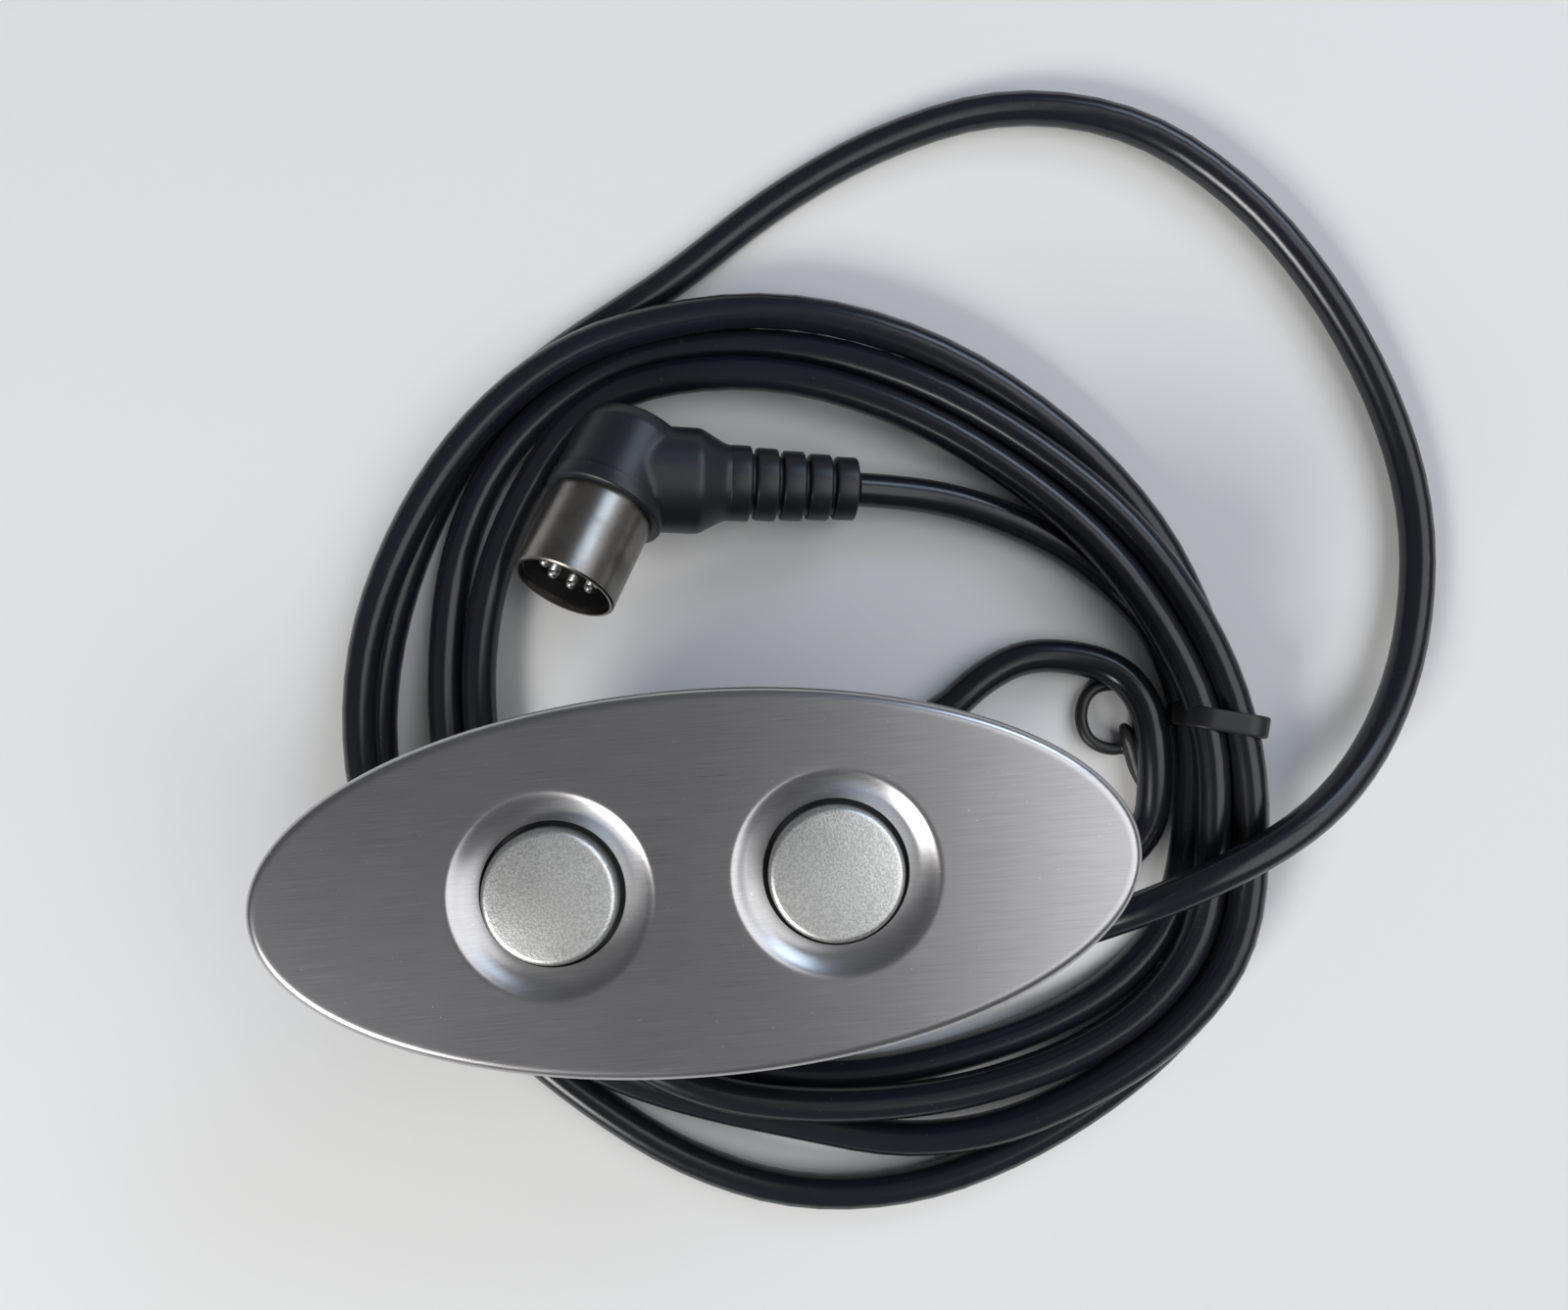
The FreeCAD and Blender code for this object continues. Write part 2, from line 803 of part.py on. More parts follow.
def mounting_clip(side, sign):
    """A leaf spring that grips the panel's cut-out: foot on the housing's end, bulged leaf."""
    gauge = number("clip_gauge")
    end = housing_length.value / 2
    top = housing_flange_bottom.value
    drop = number("clip_drop")
    bulge = number("clip_bulge")
    outer = [
        Vector(end, 0, top),
        Vector(end + 0.35 * bulge, 0, top - 0.12 * drop),
        Vector(end + bulge, 0, top - 0.5 * drop),
        Vector(end + 0.35 * bulge, 0, top - 0.86 * drop),
        Vector(end + 0.02, 0, top - drop),
    ]
    leaf = Part.BSplineCurve()
    leaf.interpolate(outer)
    shift = Vector(gauge, 0, 0)
    back = [point + shift for point in outer]
    rear = Part.BSplineCurve()
    rear.interpolate(back)
    path = [
        leaf.toShape(),
        Part.LineSegment(outer[-1], back[-1]).toShape(),
        rear.toShape(),
        Part.LineSegment(back[0], outer[0]).toShape(),
    ]
    face = Part.Face(Part.Wire(Part.__sortEdges__(path)))
    width = number("clip_width")
    solid = face.extrude(Vector(0, width, 0))
    solid.translate(Vector(0, -width / 2, 0))
    if sign < 0:
        solid = solid.mirror(Vector(0, 0, 0), Vector(1, 0, 0))
    return plain(side + "_mounting_clip", solid)


# The routes of the free cord, in the order that the cord runs.
# From the gland it loops once beside the housing, passes round the rear box under the plate,
# climbs over the tied side of the coil and swings out in the wide loop.
LEAD_ROUTE = [
    (24.0, -2.8, 5.4),
    (31.2, -2.8, 5.4),
    (39.6, -6.3, 3.8),
    (47.6, -7.5, 2.5),
    (55.0, -4.2, 2.35),
    (59.3, 2.5, 2.35),
    (60.0, 10.1, 2.35),
    (56.1, 16.7, 2.35),
    (48.8, 20.7, 2.35),
    (40.2, 20.3, 2.35),
    (32.0, 16.4, 2.35),
    (22.6, 14.5, 2.35),
    (11.6, 16.0, 2.35),
    (0.5, 16.6, 2.35),
    (-9.6, 16.2, 2.35),
    (-18.4, 10.4, 2.35),
    (-22.2, 0.4, 2.35),
    (-18.9, -10.2, 2.35),
    (-9.8, -17.0, 2.35),
    (2.0, -18.2, 2.35),
    (14.0, -18.0, 2.35),
    (26.0, -18.2, 2.5),
    (37.6, -17.7, 4.2),
    (47.8, -14.4, 8.6),
    (58.0, -10.3, 13.7),
    (70.8, -5.2, 13.9),
    (80.5, 0.3, 11.0),
    (88.9, 8.9, 6.8),
    (94.6, 20.4, 3.4),
    (97.1, 34.8, 2.35),
    (94.7, 50.6, 2.35),
    (87.9, 66.4, 2.35),
    (77.5, 80.3, 2.35),
    (63.1, 90.7, 2.35),
    (45.8, 94.0, 2.35),
    (28.9, 90.3, 2.35),
    (14.1, 83.3, 2.35),
    (1.8, 74.9, 2.35),
    (-9.0, 68.6, 2.35),
]

# From the coil's tied side to the plug's relief.
TAIL_ROUTE = [
    (58.4, 26.7, 2.35),
    (54.5, 31.4, 2.35),
    (48.8, 36.7, 2.35),
    (41.7, 40.7, 2.6),
    (32.2, 42.8, 3.8),
    (22.7, 44.1, 5.0),
]

# The coil seen from above: angle about its middle, inner radius and outer radius.
COIL_MIDDLE = Vector(12.3, 10.0, 0)
COIL_OUTLINE = [
    (0, 50.3, 61.8),
    (28, 50.5, 59.9),
    (58, 46.4, 59.3),
    (88, 49.1, 61.6),
    (112, 53.6, 63.4),
    (140, 47.4, 63.2),
    (166, 41.9, 61.8),
    (200, 42.7, 58.5),
    (232, 45.6, 56.6),
    (262, 45.2, 59.7),
    (290, 42.3, 61.6),
    (318, 49.5, 63.8),
    (342, 51.1, 64.6),
]


def tube(name, route):
    """A cord's tube: straight runs joined by tangent arcs as large as the runs allow."""
    radius = cord_radius.value
    points = [Vector(*point) for point in route]
    edges = []
    tightest = None
    at = points[0]
    for before, corner, after in zip(points, points[1:], points[2:]):
        into = (corner - before).normalize()
        out = (after - corner).normalize()
        turn = into.getAngle(out)
        back = 0.45 * min((corner - before).Length, (after - corner).Length)
        bend = back / math.tan(turn / 2)
        if tightest is None or bend < tightest:
            tightest = bend
        start = corner - into * back
        end = corner + out * back
        inward = (out - into).normalize()
        reach = math.hypot(back, bend) - bend
        middle = corner + inward * reach
        edges.append(Part.LineSegment(at, start).toShape())
        edges.append(Part.Arc(start, middle, end).toShape())
        at = end
    edges.append(Part.LineSegment(at, points[-1]).toShape())
    path = Part.Wire(edges)
    first = (points[1] - points[0]).normalize()
    ring = Part.Wire(Part.makeCircle(radius, points[0], first))
    solid = path.makePipeShell([ring], True, True)
    expected = math.pi * radius**2 * path.Length
    if abs(solid.Volume - expected) > 0.01 * expected:
        raise RuntimeError(name + " has volume %.1f, not %.1f" % (solid.Volume, expected))
    print(name, "length %.1f, tightest bend radius %.1f" % (path.Length, tightest))
    return plain(name, solid)


def coil_loop(column):
    """One closed edge of the coil, seen from above: column 1 is its inside, 2 its outside."""
    points = []
    for row in COIL_OUTLINE:
        angle, radius = math.radians(row[0]), row[column]
        outward = Vector(math.cos(angle), math.sin(angle), 0)
        points.append(COIL_MIDDLE + outward * radius)
    curve = Part.BSplineCurve()
    curve.interpolate(points, PeriodicFlag=True)
    return Part.Wire(curve.toShape())


def tie_box(inset, width):
    """The space that the tie's band goes round, on the coil's right side."""
    row = COIL_OUTLINE[0]
    start = COIL_MIDDLE.x + row[1] - 0.2 + inset
    end = COIL_MIDDLE.x + row[2] + 0.4 - inset
    height = number("coil_height")
    return Part.makeBox(
        end - start,
        width,
        height - 2 * inset,
        Vector(start, COIL_MIDDLE.y - width / 2, inset),
    )


def coil_and_tie():
    """The coil's outer shape, waisted where the tie's flat band goes round it."""
    height = number("coil_height")
    inner, outer = [
        Part.Face(coil_loop(column)).extrude(Vector(0, 0, height)) for column in (1, 2)
    ]
    solid = outer.cut(inner)
    gauge = number("tie_gauge")
    width = number("tie_width")
    gap = number("tie_clearance")
    slab = tie_box(-3.0, width + 2 * gap)
    waist = slab.cut(tie_box(gauge + gap, width + 2 * gap + 2))
    coil = plain("cord_coil", solid.cut(waist))

    band = tie_box(0, width).cut(tie_box(gauge, width + 2))
    ring_radius = number("tie_ring_diameter") / 2
    wire = gauge / 2
    eye_x = COIL_MIDDLE.x + COIL_OUTLINE[0][1] - 0.4 - ring_radius + wire
    eye = Part.makeTorus(
        ring_radius - wire,
        wire,
        Vector(eye_x, COIL_MIDDLE.y + 1.0, height - gauge),
        Vector(0, 0, 1),
    )
    tie = plain("cord_tie", band.fuse(eye).removeSplitter())
    return coil, tie


# The plug lies on the floor inside the coil; its shell points up and to the left.
PLUG_KNEE = Vector(-7.8, 47.6, barrel_radius.value + number("plug_lift"))
SHELL_HEADING = -117.0
SHELL_PITCH = 23.0


def heading(yaw, pitch):
    yaw, pitch = math.radians(yaw), math.radians(pitch)
    return Vector(
        math.cos(pitch) * math.cos(yaw),
        math.cos(pitch) * math.sin(yaw),
        math.sin(pitch),
    )


def shell_frame():
    """The plug's own frame: origin at the knee, Z along the shell, Y upwards."""
    ahead = heading(SHELL_HEADING, SHELL_PITCH)
    across = Vector(0, 0, 1).cross(ahead).normalize()
    up = ahead.cross(across)
    return FreeCAD.Placement(PLUG_KNEE, Rotation(across, up, ahead, "ZXY"))


def neck_frame():
    """A frame at the knee with Z along the neck, towards the cord."""
    ahead = (Vector(*TAIL_ROUTE[-1]) - PLUG_KNEE).normalize()
    across = Vector(0, 0, 1).cross(ahead).normalize()
    up = ahead.cross(across)
    return FreeCAD.Placement(PLUG_KNEE, Rotation(across, up, ahead, "ZXY"))


def plug():
    """The moulded plug: barrel and ribbed neck, metal shell, insert and five pins."""
    barrel = body("plug_barrel")
    profile = sketch(barrel, "barrel_profile", "XZ_Plane")
    back = -size("plug_barrel_back")
    front = size("plug_barrel_front")
    edge = size("plug_edge_radius")
    radius = barrel_radius
    seat = 0.02
    polygon(
        profile,
        [
            (0, back),
            (radius - edge, back),
            (radius - 0.3 * edge, back + 0.3 * edge),
            (radius, back + edge),
            (radius, front - 1.2),
            (radius - 0.9, front),
            (shell_radius + seat, front),
            (shell_radius + seat, 0),
            (0, 0),
        ],
    )
    spin(barrel, "barrel_turned", profile)
    barrel.Placement = shell_frame()

    neck = body("plug_neck")
    profile = sketch(neck, "neck_profile", "XZ_Plane")
    tip = cord_radius + size("relief_wall")
    root = tip + size("relief_taper")
    start = size("relief_start")
    end = size("relief_end")
    wide = barrel_radius - size("neck_step")
    groove = size("relief_groove")
    corners = [(0, 0), (wide, 0), (wide, start - 3.4), (root, start)]
    rings = 5
    pitch = (end - start) / rings
    for n in range(1, rings):
        share = n / rings
        crest = root + (tip - root) * share
        place_of = start + pitch * n
        corners.append((crest, place_of - 0.55))
        corners.append((crest - groove, place_of - 0.45))
        corners.append((crest - groove, place_of + 0.45))
        corners.append((crest, place_of + 0.55))
    corners.append((tip, end - 0.8))
    corners.append((tip - 0.8, end))
    corners.append((0, end))
    polygon(profile, corners)
    spin(neck, "neck_turned", profile)
    neck.Placement = neck_frame()

    clear = doc.addObject("Part::Cylinder", "shell_seat")
    clear.setExpression("Radius", (shell_radius + seat).text)
    clear.setExpression("Height", (size("shell_mouth") + 4).text)
    clear.Placement = shell_frame()
    moulding = cut("plug_body", fuse("plug_moulding", barrel, neck), clear)

    shell = body("plug_shell")
    profile = sketch(shell, "shell_profile", "XZ_Plane")
    gauge = size("shell_gauge")
    mouth = size("shell_mouth")
    polygon(
        profile,
        [
            (shell_radius - gauge, 0.02),
            (shell_radius, 0.02),
            (shell_radius, mouth - 0.2),
            (shell_radius - 0.2, mouth),
            (shell_radius - gauge, mouth),
        ],
    )
    spin(shell, "shell_drawn", profile)
    shell.Placement = shell_frame()

    insert_height = size("insert_face") - seat
    insert_blank = cylinder(
        "insert_blank", shell_radius - gauge - seat, insert_height, 0, 0, seat
    )
    holes = []
    pins = []
    pin_radius = size("pin_diameter") / 2
    for n in range(5):
        angle = math.radians(-90 + 45 * (n - 2))
        x = size("pin_circle") / 2 * math.cos(angle)
        y = size("pin_circle") / 2 * math.sin(angle)
        holes.append(
            cylinder("pin_hole_%d" % (n + 1), pin_radius + 0.02, mouth, x, y, 2)
        )
        pin = cylinder(
            "pin_rod_%d" % (n + 1),
            pin_radius,
            mouth - size("pin_setback") - 2.02,
            x,
            y,
            2.02,
        )
        pins.append(pin)
    insert = cut("insert_form", insert_blank, fuse("pin_holes", *holes))
    placed = [(insert, "plug_insert")]
    placed += [(pin, "plug_pin_%d" % (n + 1)) for n, pin in enumerate(pins)]
    nodes = []
    for item, name in placed:
        carrier = doc.addObject("Part::Compound", name)
        carrier.Links = [item]
        carrier.Placement = shell_frame()
        nodes.append(carrier)
    return [moulding, shell] + nodes


def cord_gland():
    """The strain relief: root flange inside the box wall, grooved taper outside."""
    gland = body("cord_gland")
    profile = sketch(gland, "gland_profile", "XZ_Plane")
    bore = cord_radius + 0.02
    tip = gland_tip
    root = gland_root
    wall = size("box_wall")
    reach = size("gland_reach")
    corners = [
        (bore, -wall - 1.0),
        (root, -wall - 1.0),
        (root, -wall - 0.05),
        (tip, -wall - 0.05),
        (tip, 0.05),
        (root, 0.05),
        (root, 1.2),
    ]
    for n in range(3):
        at = 1.9 + 2.0 * n
        corners += [(tip, at - 0.4), (tip, at), (tip - 0.3, at), (tip - 0.3, at + 0.6)]
    corners += [(tip - 0.2, reach), (bore, reach)]
    polygon(profile, corners)
    spin(gland, "gland_turned", profile)
    gland.Placement = FreeCAD.Placement(
        Vector(box_end.value, number("gland_offset"), gland_height.value),
        Rotation(Vector(0, 1, 0), 90),
    )
    return gland


def inner_lead():
    """The jacketed end of the cord inside the box, and the cores up to the board."""
    height = gland_height.value
    offset = number("gland_offset")
    radius = cord_radius.value
    start = Vector(box_end.value + number("gland_reach"), offset, height)
    jacket_end = 13.5 - box_end.value
    jacket = Part.makeCylinder(
        radius, start.x - jacket_end, Vector(jacket_end, offset, height), Vector(1, 0, 0)
    )
    jacket_node = plain("cord_jacket_end", jacket)
    core = number("core_diameter") / 2
    bend = 3.0
    wires = []
    for n in range(5):
        angle = math.radians(90 + 72 * n)
        y = offset + 1.3 * math.cos(angle)
        z = height + 1.3 * math.sin(angle)
        x = jacket_end - bend - 1.0 - 1.6 * n
        top = board_bottom.value
        line = Part.LineSegment(Vector(jacket_end, y, z), Vector(x + bend, y, z))
        half = bend * math.sin(math.pi / 4)
        arc = Part.Arc(
            Vector(x + bend, y, z),
            Vector(x + bend - half, y, z + bend - half),
            Vector(x, y, z + bend),
        )
        rise = Part.LineSegment(Vector(x, y, z + bend), Vector(x, y, top))
        path = Part.Wire([line.toShape(), arc.toShape(), rise.toShape()])
        ring = Part.Wire(
            Part.makeCircle(core, Vector(jacket_end, y, z), Vector(-1, 0, 0))
        )
        wires.append(path.makePipeShell([ring], True, True))
    return jacket_node, plain("core_wires", Part.makeCompound(wires))


nodes = [face_plate(), front_housing(), rear_cover(), circuit_board()]
for side, x in (("left", -button_x), ("right", button_x)):
    nodes += button(side, x)
    nodes.append(spring(side, x))
    nodes.append(switch_body(side, x))
nodes += fasteners()
nodes.append(mounting_clip("left", -1))
nodes.append(mounting_clip("right", 1))
nodes.append(cord_gland())
nodes += inner_lead()
nodes.append(tube("cord_lead", LEAD_ROUTE))
nodes.append(tube("cord_tail", TAIL_ROUTE))
nodes += coil_and_tie()
nodes += plug()

doc.recompute()
for item in doc.Objects:
    if "Invalid" in item.State or "Error" in item.State:
        raise RuntimeError("%s failed: %s" % (item.Name, item.State))

os.makedirs("parts", exist_ok=True)
for item in nodes:
    shape = item.Shape
    if shape.isNull() or not shape.isValid() or not shape.Solids:
        raise RuntimeError(item.Label + " is not a valid solid")
    shape.exportStep("parts/%s.step" % item.Label)
    box = shape.BoundBox
    print(
        "%-24s %d solid, %.1f mm3, z %.2f to %.2f"
        % (item.Label, len(shape.Solids), shape.Volume, box.ZMin, box.ZMax)
    )
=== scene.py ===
import math

import bmesh
import bpy
from bpy.props import FloatProperty, FloatVectorProperty, PointerProperty
from mathutils import Matrix, Vector
from mathutils.geometry import convex_hull_2d, delaunay_2d_cdt


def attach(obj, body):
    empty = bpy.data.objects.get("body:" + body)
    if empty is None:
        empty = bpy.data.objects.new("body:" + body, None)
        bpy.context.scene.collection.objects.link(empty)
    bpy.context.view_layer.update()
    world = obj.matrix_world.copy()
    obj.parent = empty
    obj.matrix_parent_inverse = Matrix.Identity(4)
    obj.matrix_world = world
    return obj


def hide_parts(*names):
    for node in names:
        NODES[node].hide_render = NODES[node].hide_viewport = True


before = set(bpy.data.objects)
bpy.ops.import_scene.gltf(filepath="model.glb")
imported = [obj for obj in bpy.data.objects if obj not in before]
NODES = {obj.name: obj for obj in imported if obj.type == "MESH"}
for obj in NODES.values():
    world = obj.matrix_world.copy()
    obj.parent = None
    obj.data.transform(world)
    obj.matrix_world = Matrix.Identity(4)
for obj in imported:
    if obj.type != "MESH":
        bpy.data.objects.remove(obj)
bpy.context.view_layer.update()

bl_info = {
    "name": "Recliner hand control",
    "version": (1, 0, 0),
    "blender": (4, 5, 0),
    "location": "3D View > Sidebar > Hand control",
    "description": "Dresses a two-button recliner hand control with its cord and plug",
    "category": "Object",
}

MM = 0.001
SIDES = ("left", "right")


# Shader maths

class Sock:
    """An output socket that takes part in Python arithmetic."""

    def __init__(self, maker, socket):
        self.maker = maker
        self.socket = socket

    def math(self, operation, *values, clamp=False):
        return self.maker.node(
            "ShaderNodeMath", values, operation=operation, use_clamp=clamp
        )

    def __add__(self, other):
        return self.math("ADD", self, other)

    __radd__ = __add__

    def __sub__(self, other):
        return self.math("SUBTRACT", self, other)

    def __rsub__(self, other):
        return self.math("SUBTRACT", other, self)

    def __mul__(self, other):
        return self.math("MULTIPLY", self, other)

    __rmul__ = __mul__

    def clamped(self):
        return self.math("ADD", self, 0.0, clamp=True)

    def step(self, low, high):
        """0 below low, 1 above high, and smooth between them."""
        return self.maker.node(
            "ShaderNodeMapRange",
            {"Value": self, "From Min": low, "From Max": high},
            interpolation_type="SMOOTHSTEP",
        )


class Graph:
    """Adds nodes to a tree and wires them through their sockets."""

    def __init__(self, tree):
        self.tree = tree

    def node(self, kind, values=(), output=0, **settings):
        """Adds a node: settings first, then its sockets by place or by name."""
        node = self.tree.nodes.new(kind)
        for word, value in settings.items():
            setattr(node, word, value)
        pairs = values.items() if isinstance(values, dict) else enumerate(values)
        for key, value in pairs:
            if isinstance(value, Sock):
                self.tree.links.new(value.socket, node.inputs[key])
            else:
                node.inputs[key].default_value = value
        return Sock(self, node.outputs[output])


class Maker(Graph):
    """Builds one material's nodes."""

    def __init__(self, name):
        self.material = bpy.data.materials.new(name)
        self.material.use_nodes = True
        super().__init__(self.material.node_tree)
        self.shader = self.tree.nodes["Principled BSDF"]

    def place(self, scale=(1, 1, 1), turn=(0, 0, 0), source="Object"):
        """Coordinates of the surface, in metres, scaled and turned."""
        where = self.node("ShaderNodeTexCoord", output=source)
        return self.node(
            "ShaderNodeMapping", {"Vector": where, "Scale": scale, "Rotation": turn}
        )

    def level(self, where):
        """The X and Y of a place."""
        return [
            self.node("ShaderNodeSeparateXYZ", (where,), output=axis) for axis in "XY"
        ]

    def noise(self, where, scale, detail=2.0, rough=0.5):
        return self.node(
            "ShaderNodeTexNoise",
            {"Vector": where, "Scale": scale, "Detail": detail, "Roughness": rough},
        )

    def blend(self, mask, low, high):
        """Goes from one colour to another by a mask."""
        mix = self.tree.nodes.new("ShaderNodeMix")
        mix.data_type = "RGBA"
        self.tree.links.new(mask.socket, mix.inputs["Factor"])
        for socket, colour in ((mix.inputs[6], low), (mix.inputs[7], high)):
            if isinstance(colour, Sock):
                self.tree.links.new(colour.socket, socket)
            else:
                socket.default_value = (*colour, 1)
        return Sock(self, mix.outputs[2])

    def bump(self, height, strength, distance):
        return self.node(
            "ShaderNodeBump",
            {"Height": height, "Strength": strength, "Distance": distance},
        )

    def finish(self, **sockets):
        """Sets the shader's own sockets: numbers and colours directly, the rest by link."""
        for word, value in sockets.items():
            socket = self.shader.inputs[word.replace("_", " ")]
            if isinstance(value, Sock):
                self.tree.links.new(value.socket, socket)
            elif isinstance(value, tuple):
                socket.default_value = (*value, 1)
            else:
                socket.default_value = value
        return self.material


# Finishes

def shade(tint, share):
    """The same colour, darker below a share of 1 and lighter above it."""
    return tuple(min(1.0, c * share) for c in tint)


def brushed_plate(tint):
    """Stainless sheet brushed along the oval, with fine scratches and small marks.

    The walls of the two holes are dark, as the gaps round the caps are in shadow.
    """
    m = Maker("brushed_stainless")
    grain = m.noise(m.place((110, 8200, 900)), 1.0, 3.0, 0.65)
    fine = m.noise(m.place((9000, 14000, 2600)), 1.0, 2.0, 0.6)
    cloud = m.noise(m.place(), 38.0, 3.0)
    hair = m.noise(m.place((160, 5200, 160), (0, 0, 0.7)), 1.0, 0.0).step(0.8, 0.85)
    speck = m.noise(m.place(), 2600.0, 0.0).step(0.83, 0.87)
    streak = grain * 0.6 + fine * 0.4
    colour = m.blend(streak.step(0.3, 0.7), shade(tint, 0.86), shade(tint, 1.1))
    colour = m.blend((hair * 0.12 + speck * 0.5).clamped(), colour, (0.85, 0.85, 0.85))
    x, y = m.level(m.place())
    beside = x.math("ABSOLUTE", x) - BUTTON_X * MM
    reach = x.math("SQRT", beside * beside + y * y)
    outside = reach.step((HOLE + 0.02) * MM, (HOLE + 0.1) * MM)
    colour = m.blend(outside, (0.012, 0.012, 0.014), colour)
    normal = m.bump(streak + hair * 0.3, 0.045, 0.00003)
    return m.finish(
        Base_Color=colour,
        Metallic=1.0,
        Roughness=0.22 + 0.1 * streak + 0.05 * cloud,
        Normal=normal,
    )


def satin_cap(tint):
    """Fine-blasted nickel, with its grain showing as a soft sparkle."""
    m = Maker("satin_nickel")
    grain = m.noise(m.place(), 3900.0, 3.0, 0.65)
    cloud = m.noise(m.place(), 160.0, 2.0)
    return m.finish(
        Base_Color=m.blend(grain.step(0.34, 0.66), shade(tint, 0.8), shade(tint, 1.16)),
        Metallic=1.0,
        Roughness=0.34 + 0.1 * cloud,
        Normal=m.bump(grain, 0.5, 0.00006),
    )


def jacket(name, tint, roughness, grain_depth):
    """Soft black covering: semi-gloss, with faint scuffs and dust."""
    m = Maker(name)
    grain = m.noise(m.place(), 2400.0, 2.0)
    swell = m.noise(m.place(), 420.0, 1.0)
    scuff = m.noise(m.place((1, 1, 1), (0.4, 0.2, 0.9)), 260.0, 4.0, 0.7).step(0.62, 0.8)
    dust = m.noise(m.place(), 3200.0, 0.0).step(0.83, 0.87)
    pale = tuple(min(1.0, c * 1.6 + 0.004) for c in tint)
    colour = m.blend((scuff * 0.5).clamped(), tint, pale)
    colour = m.blend(dust * 0.3, colour, (0.12, 0.12, 0.12))
    return m.finish(
        Base_Color=colour,
        Roughness=roughness + 0.1 * scuff + 0.05 * swell,
        Normal=m.bump(grain * 0.5 + swell, grain_depth, 0.00005),
        Specular_IOR_Level=0.5,
    )


def moulded(name, tint, roughness, texture_scale=1100.0):
    """Plain moulded plastic with a fine eroded texture."""
    m = Maker(name)
    texture = m.noise(m.place(), texture_scale, 3.0, 0.6)
    cloud = m.noise(m.place(), 60.0, 2.0)
    return m.finish(
        Base_Color=m.blend(cloud.step(0.3, 0.7), shade(tint, 0.85), shade(tint, 1.15)),
        Roughness=roughness + 0.1 * texture,
        Normal=m.bump(texture, 0.25, 0.00005),
    )


def plated(name, tint, roughness, wear):
    """Bright plated metal, a little tarnished in clouds."""
    m = Maker(name)
    cloud = m.noise(m.place(), 240.0, 3.0, 0.6)
    scratch = m.noise(m.place((200, 1800, 200), (0.5, 0.3, 0.2)), 1.0, 1.0)
    return m.finish(
        Base_Color=m.blend(cloud.step(0.4, 0.75), tint, shade(tint, wear)),
        Metallic=1.0,
        Roughness=roughness + 0.14 * cloud,
        Normal=m.bump(scratch, 0.08, 0.00003),
    )


# Repeated parts, by Geometry Nodes

class Recipe(Graph):
    """A geometry tree with named inputs, whose result becomes one plain mesh."""

    def __init__(self, name, **inputs):
        super().__init__(bpy.data.node_groups.new(name, "GeometryNodeTree"))
        self.values = inputs
        self.entry = self.tree.nodes.new("NodeGroupInput")
        self.tree.interface.new_socket(
            name="Geometry", in_out="OUTPUT", socket_type="NodeSocketGeometry"
        )
        for word, value in inputs.items():
            kind = "Int" if isinstance(value, int) else "Float"
            if isinstance(value, bpy.types.Material):
                kind = "Material"
            self.tree.interface.new_socket(
                name=word, in_out="INPUT", socket_type="NodeSocket" + kind
            )

    def input(self, word):
        return Sock(self, self.entry.outputs[word])

    def vector(self, x, y, z):
        return self.node("ShaderNodeCombineXYZ", (x, y, z))

    def mesh(self, name, shape, placing):
        """Realizes the shape, gives it its material and sets it where it belongs."""
        smooth = self.node(
            "GeometryNodeSetShadeSmooth",
            {"Geometry": self.node("GeometryNodeRealizeInstances", (shape,))},
        )
        done = self.node(
            "GeometryNodeSetMaterial",
            {"Geometry": smooth, "Material": self.input("Material")},
        )
        out = self.tree.nodes.new("NodeGroupOutput")
        self.tree.links.new(done.socket, out.inputs[0])
        piece = link(bpy.data.objects.new(name, bpy.data.meshes.new(name)))
        modifier = piece.modifiers.new("recipe", "NODES")
        modifier.node_group = self.tree
        for item in self.tree.interface.items_tree:
            if item.in_out == "INPUT":
                modifier[item.identifier] = self.values[item.name]
        baked(piece)
        piece.data.transform(placing)
        return piece


def evaluated_mesh(piece):
    """A new mesh of what a piece's modifiers or curve make."""
    scene_graph = bpy.context.evaluated_depsgraph_get()
    return bpy.data.meshes.new_from_object(piece.evaluated_get(scene_graph))


def baked(piece):
    """Turns what a piece's modifiers make into its own mesh."""
    mesh = evaluated_mesh(piece)
    piece.modifiers.clear()
    piece.data = mesh
    return piece


# Where the plug's repeated parts sit along their axes, in millimetres from its knee
FIRST_RIB = 15.33
PINS_MIDDLE = 8.3


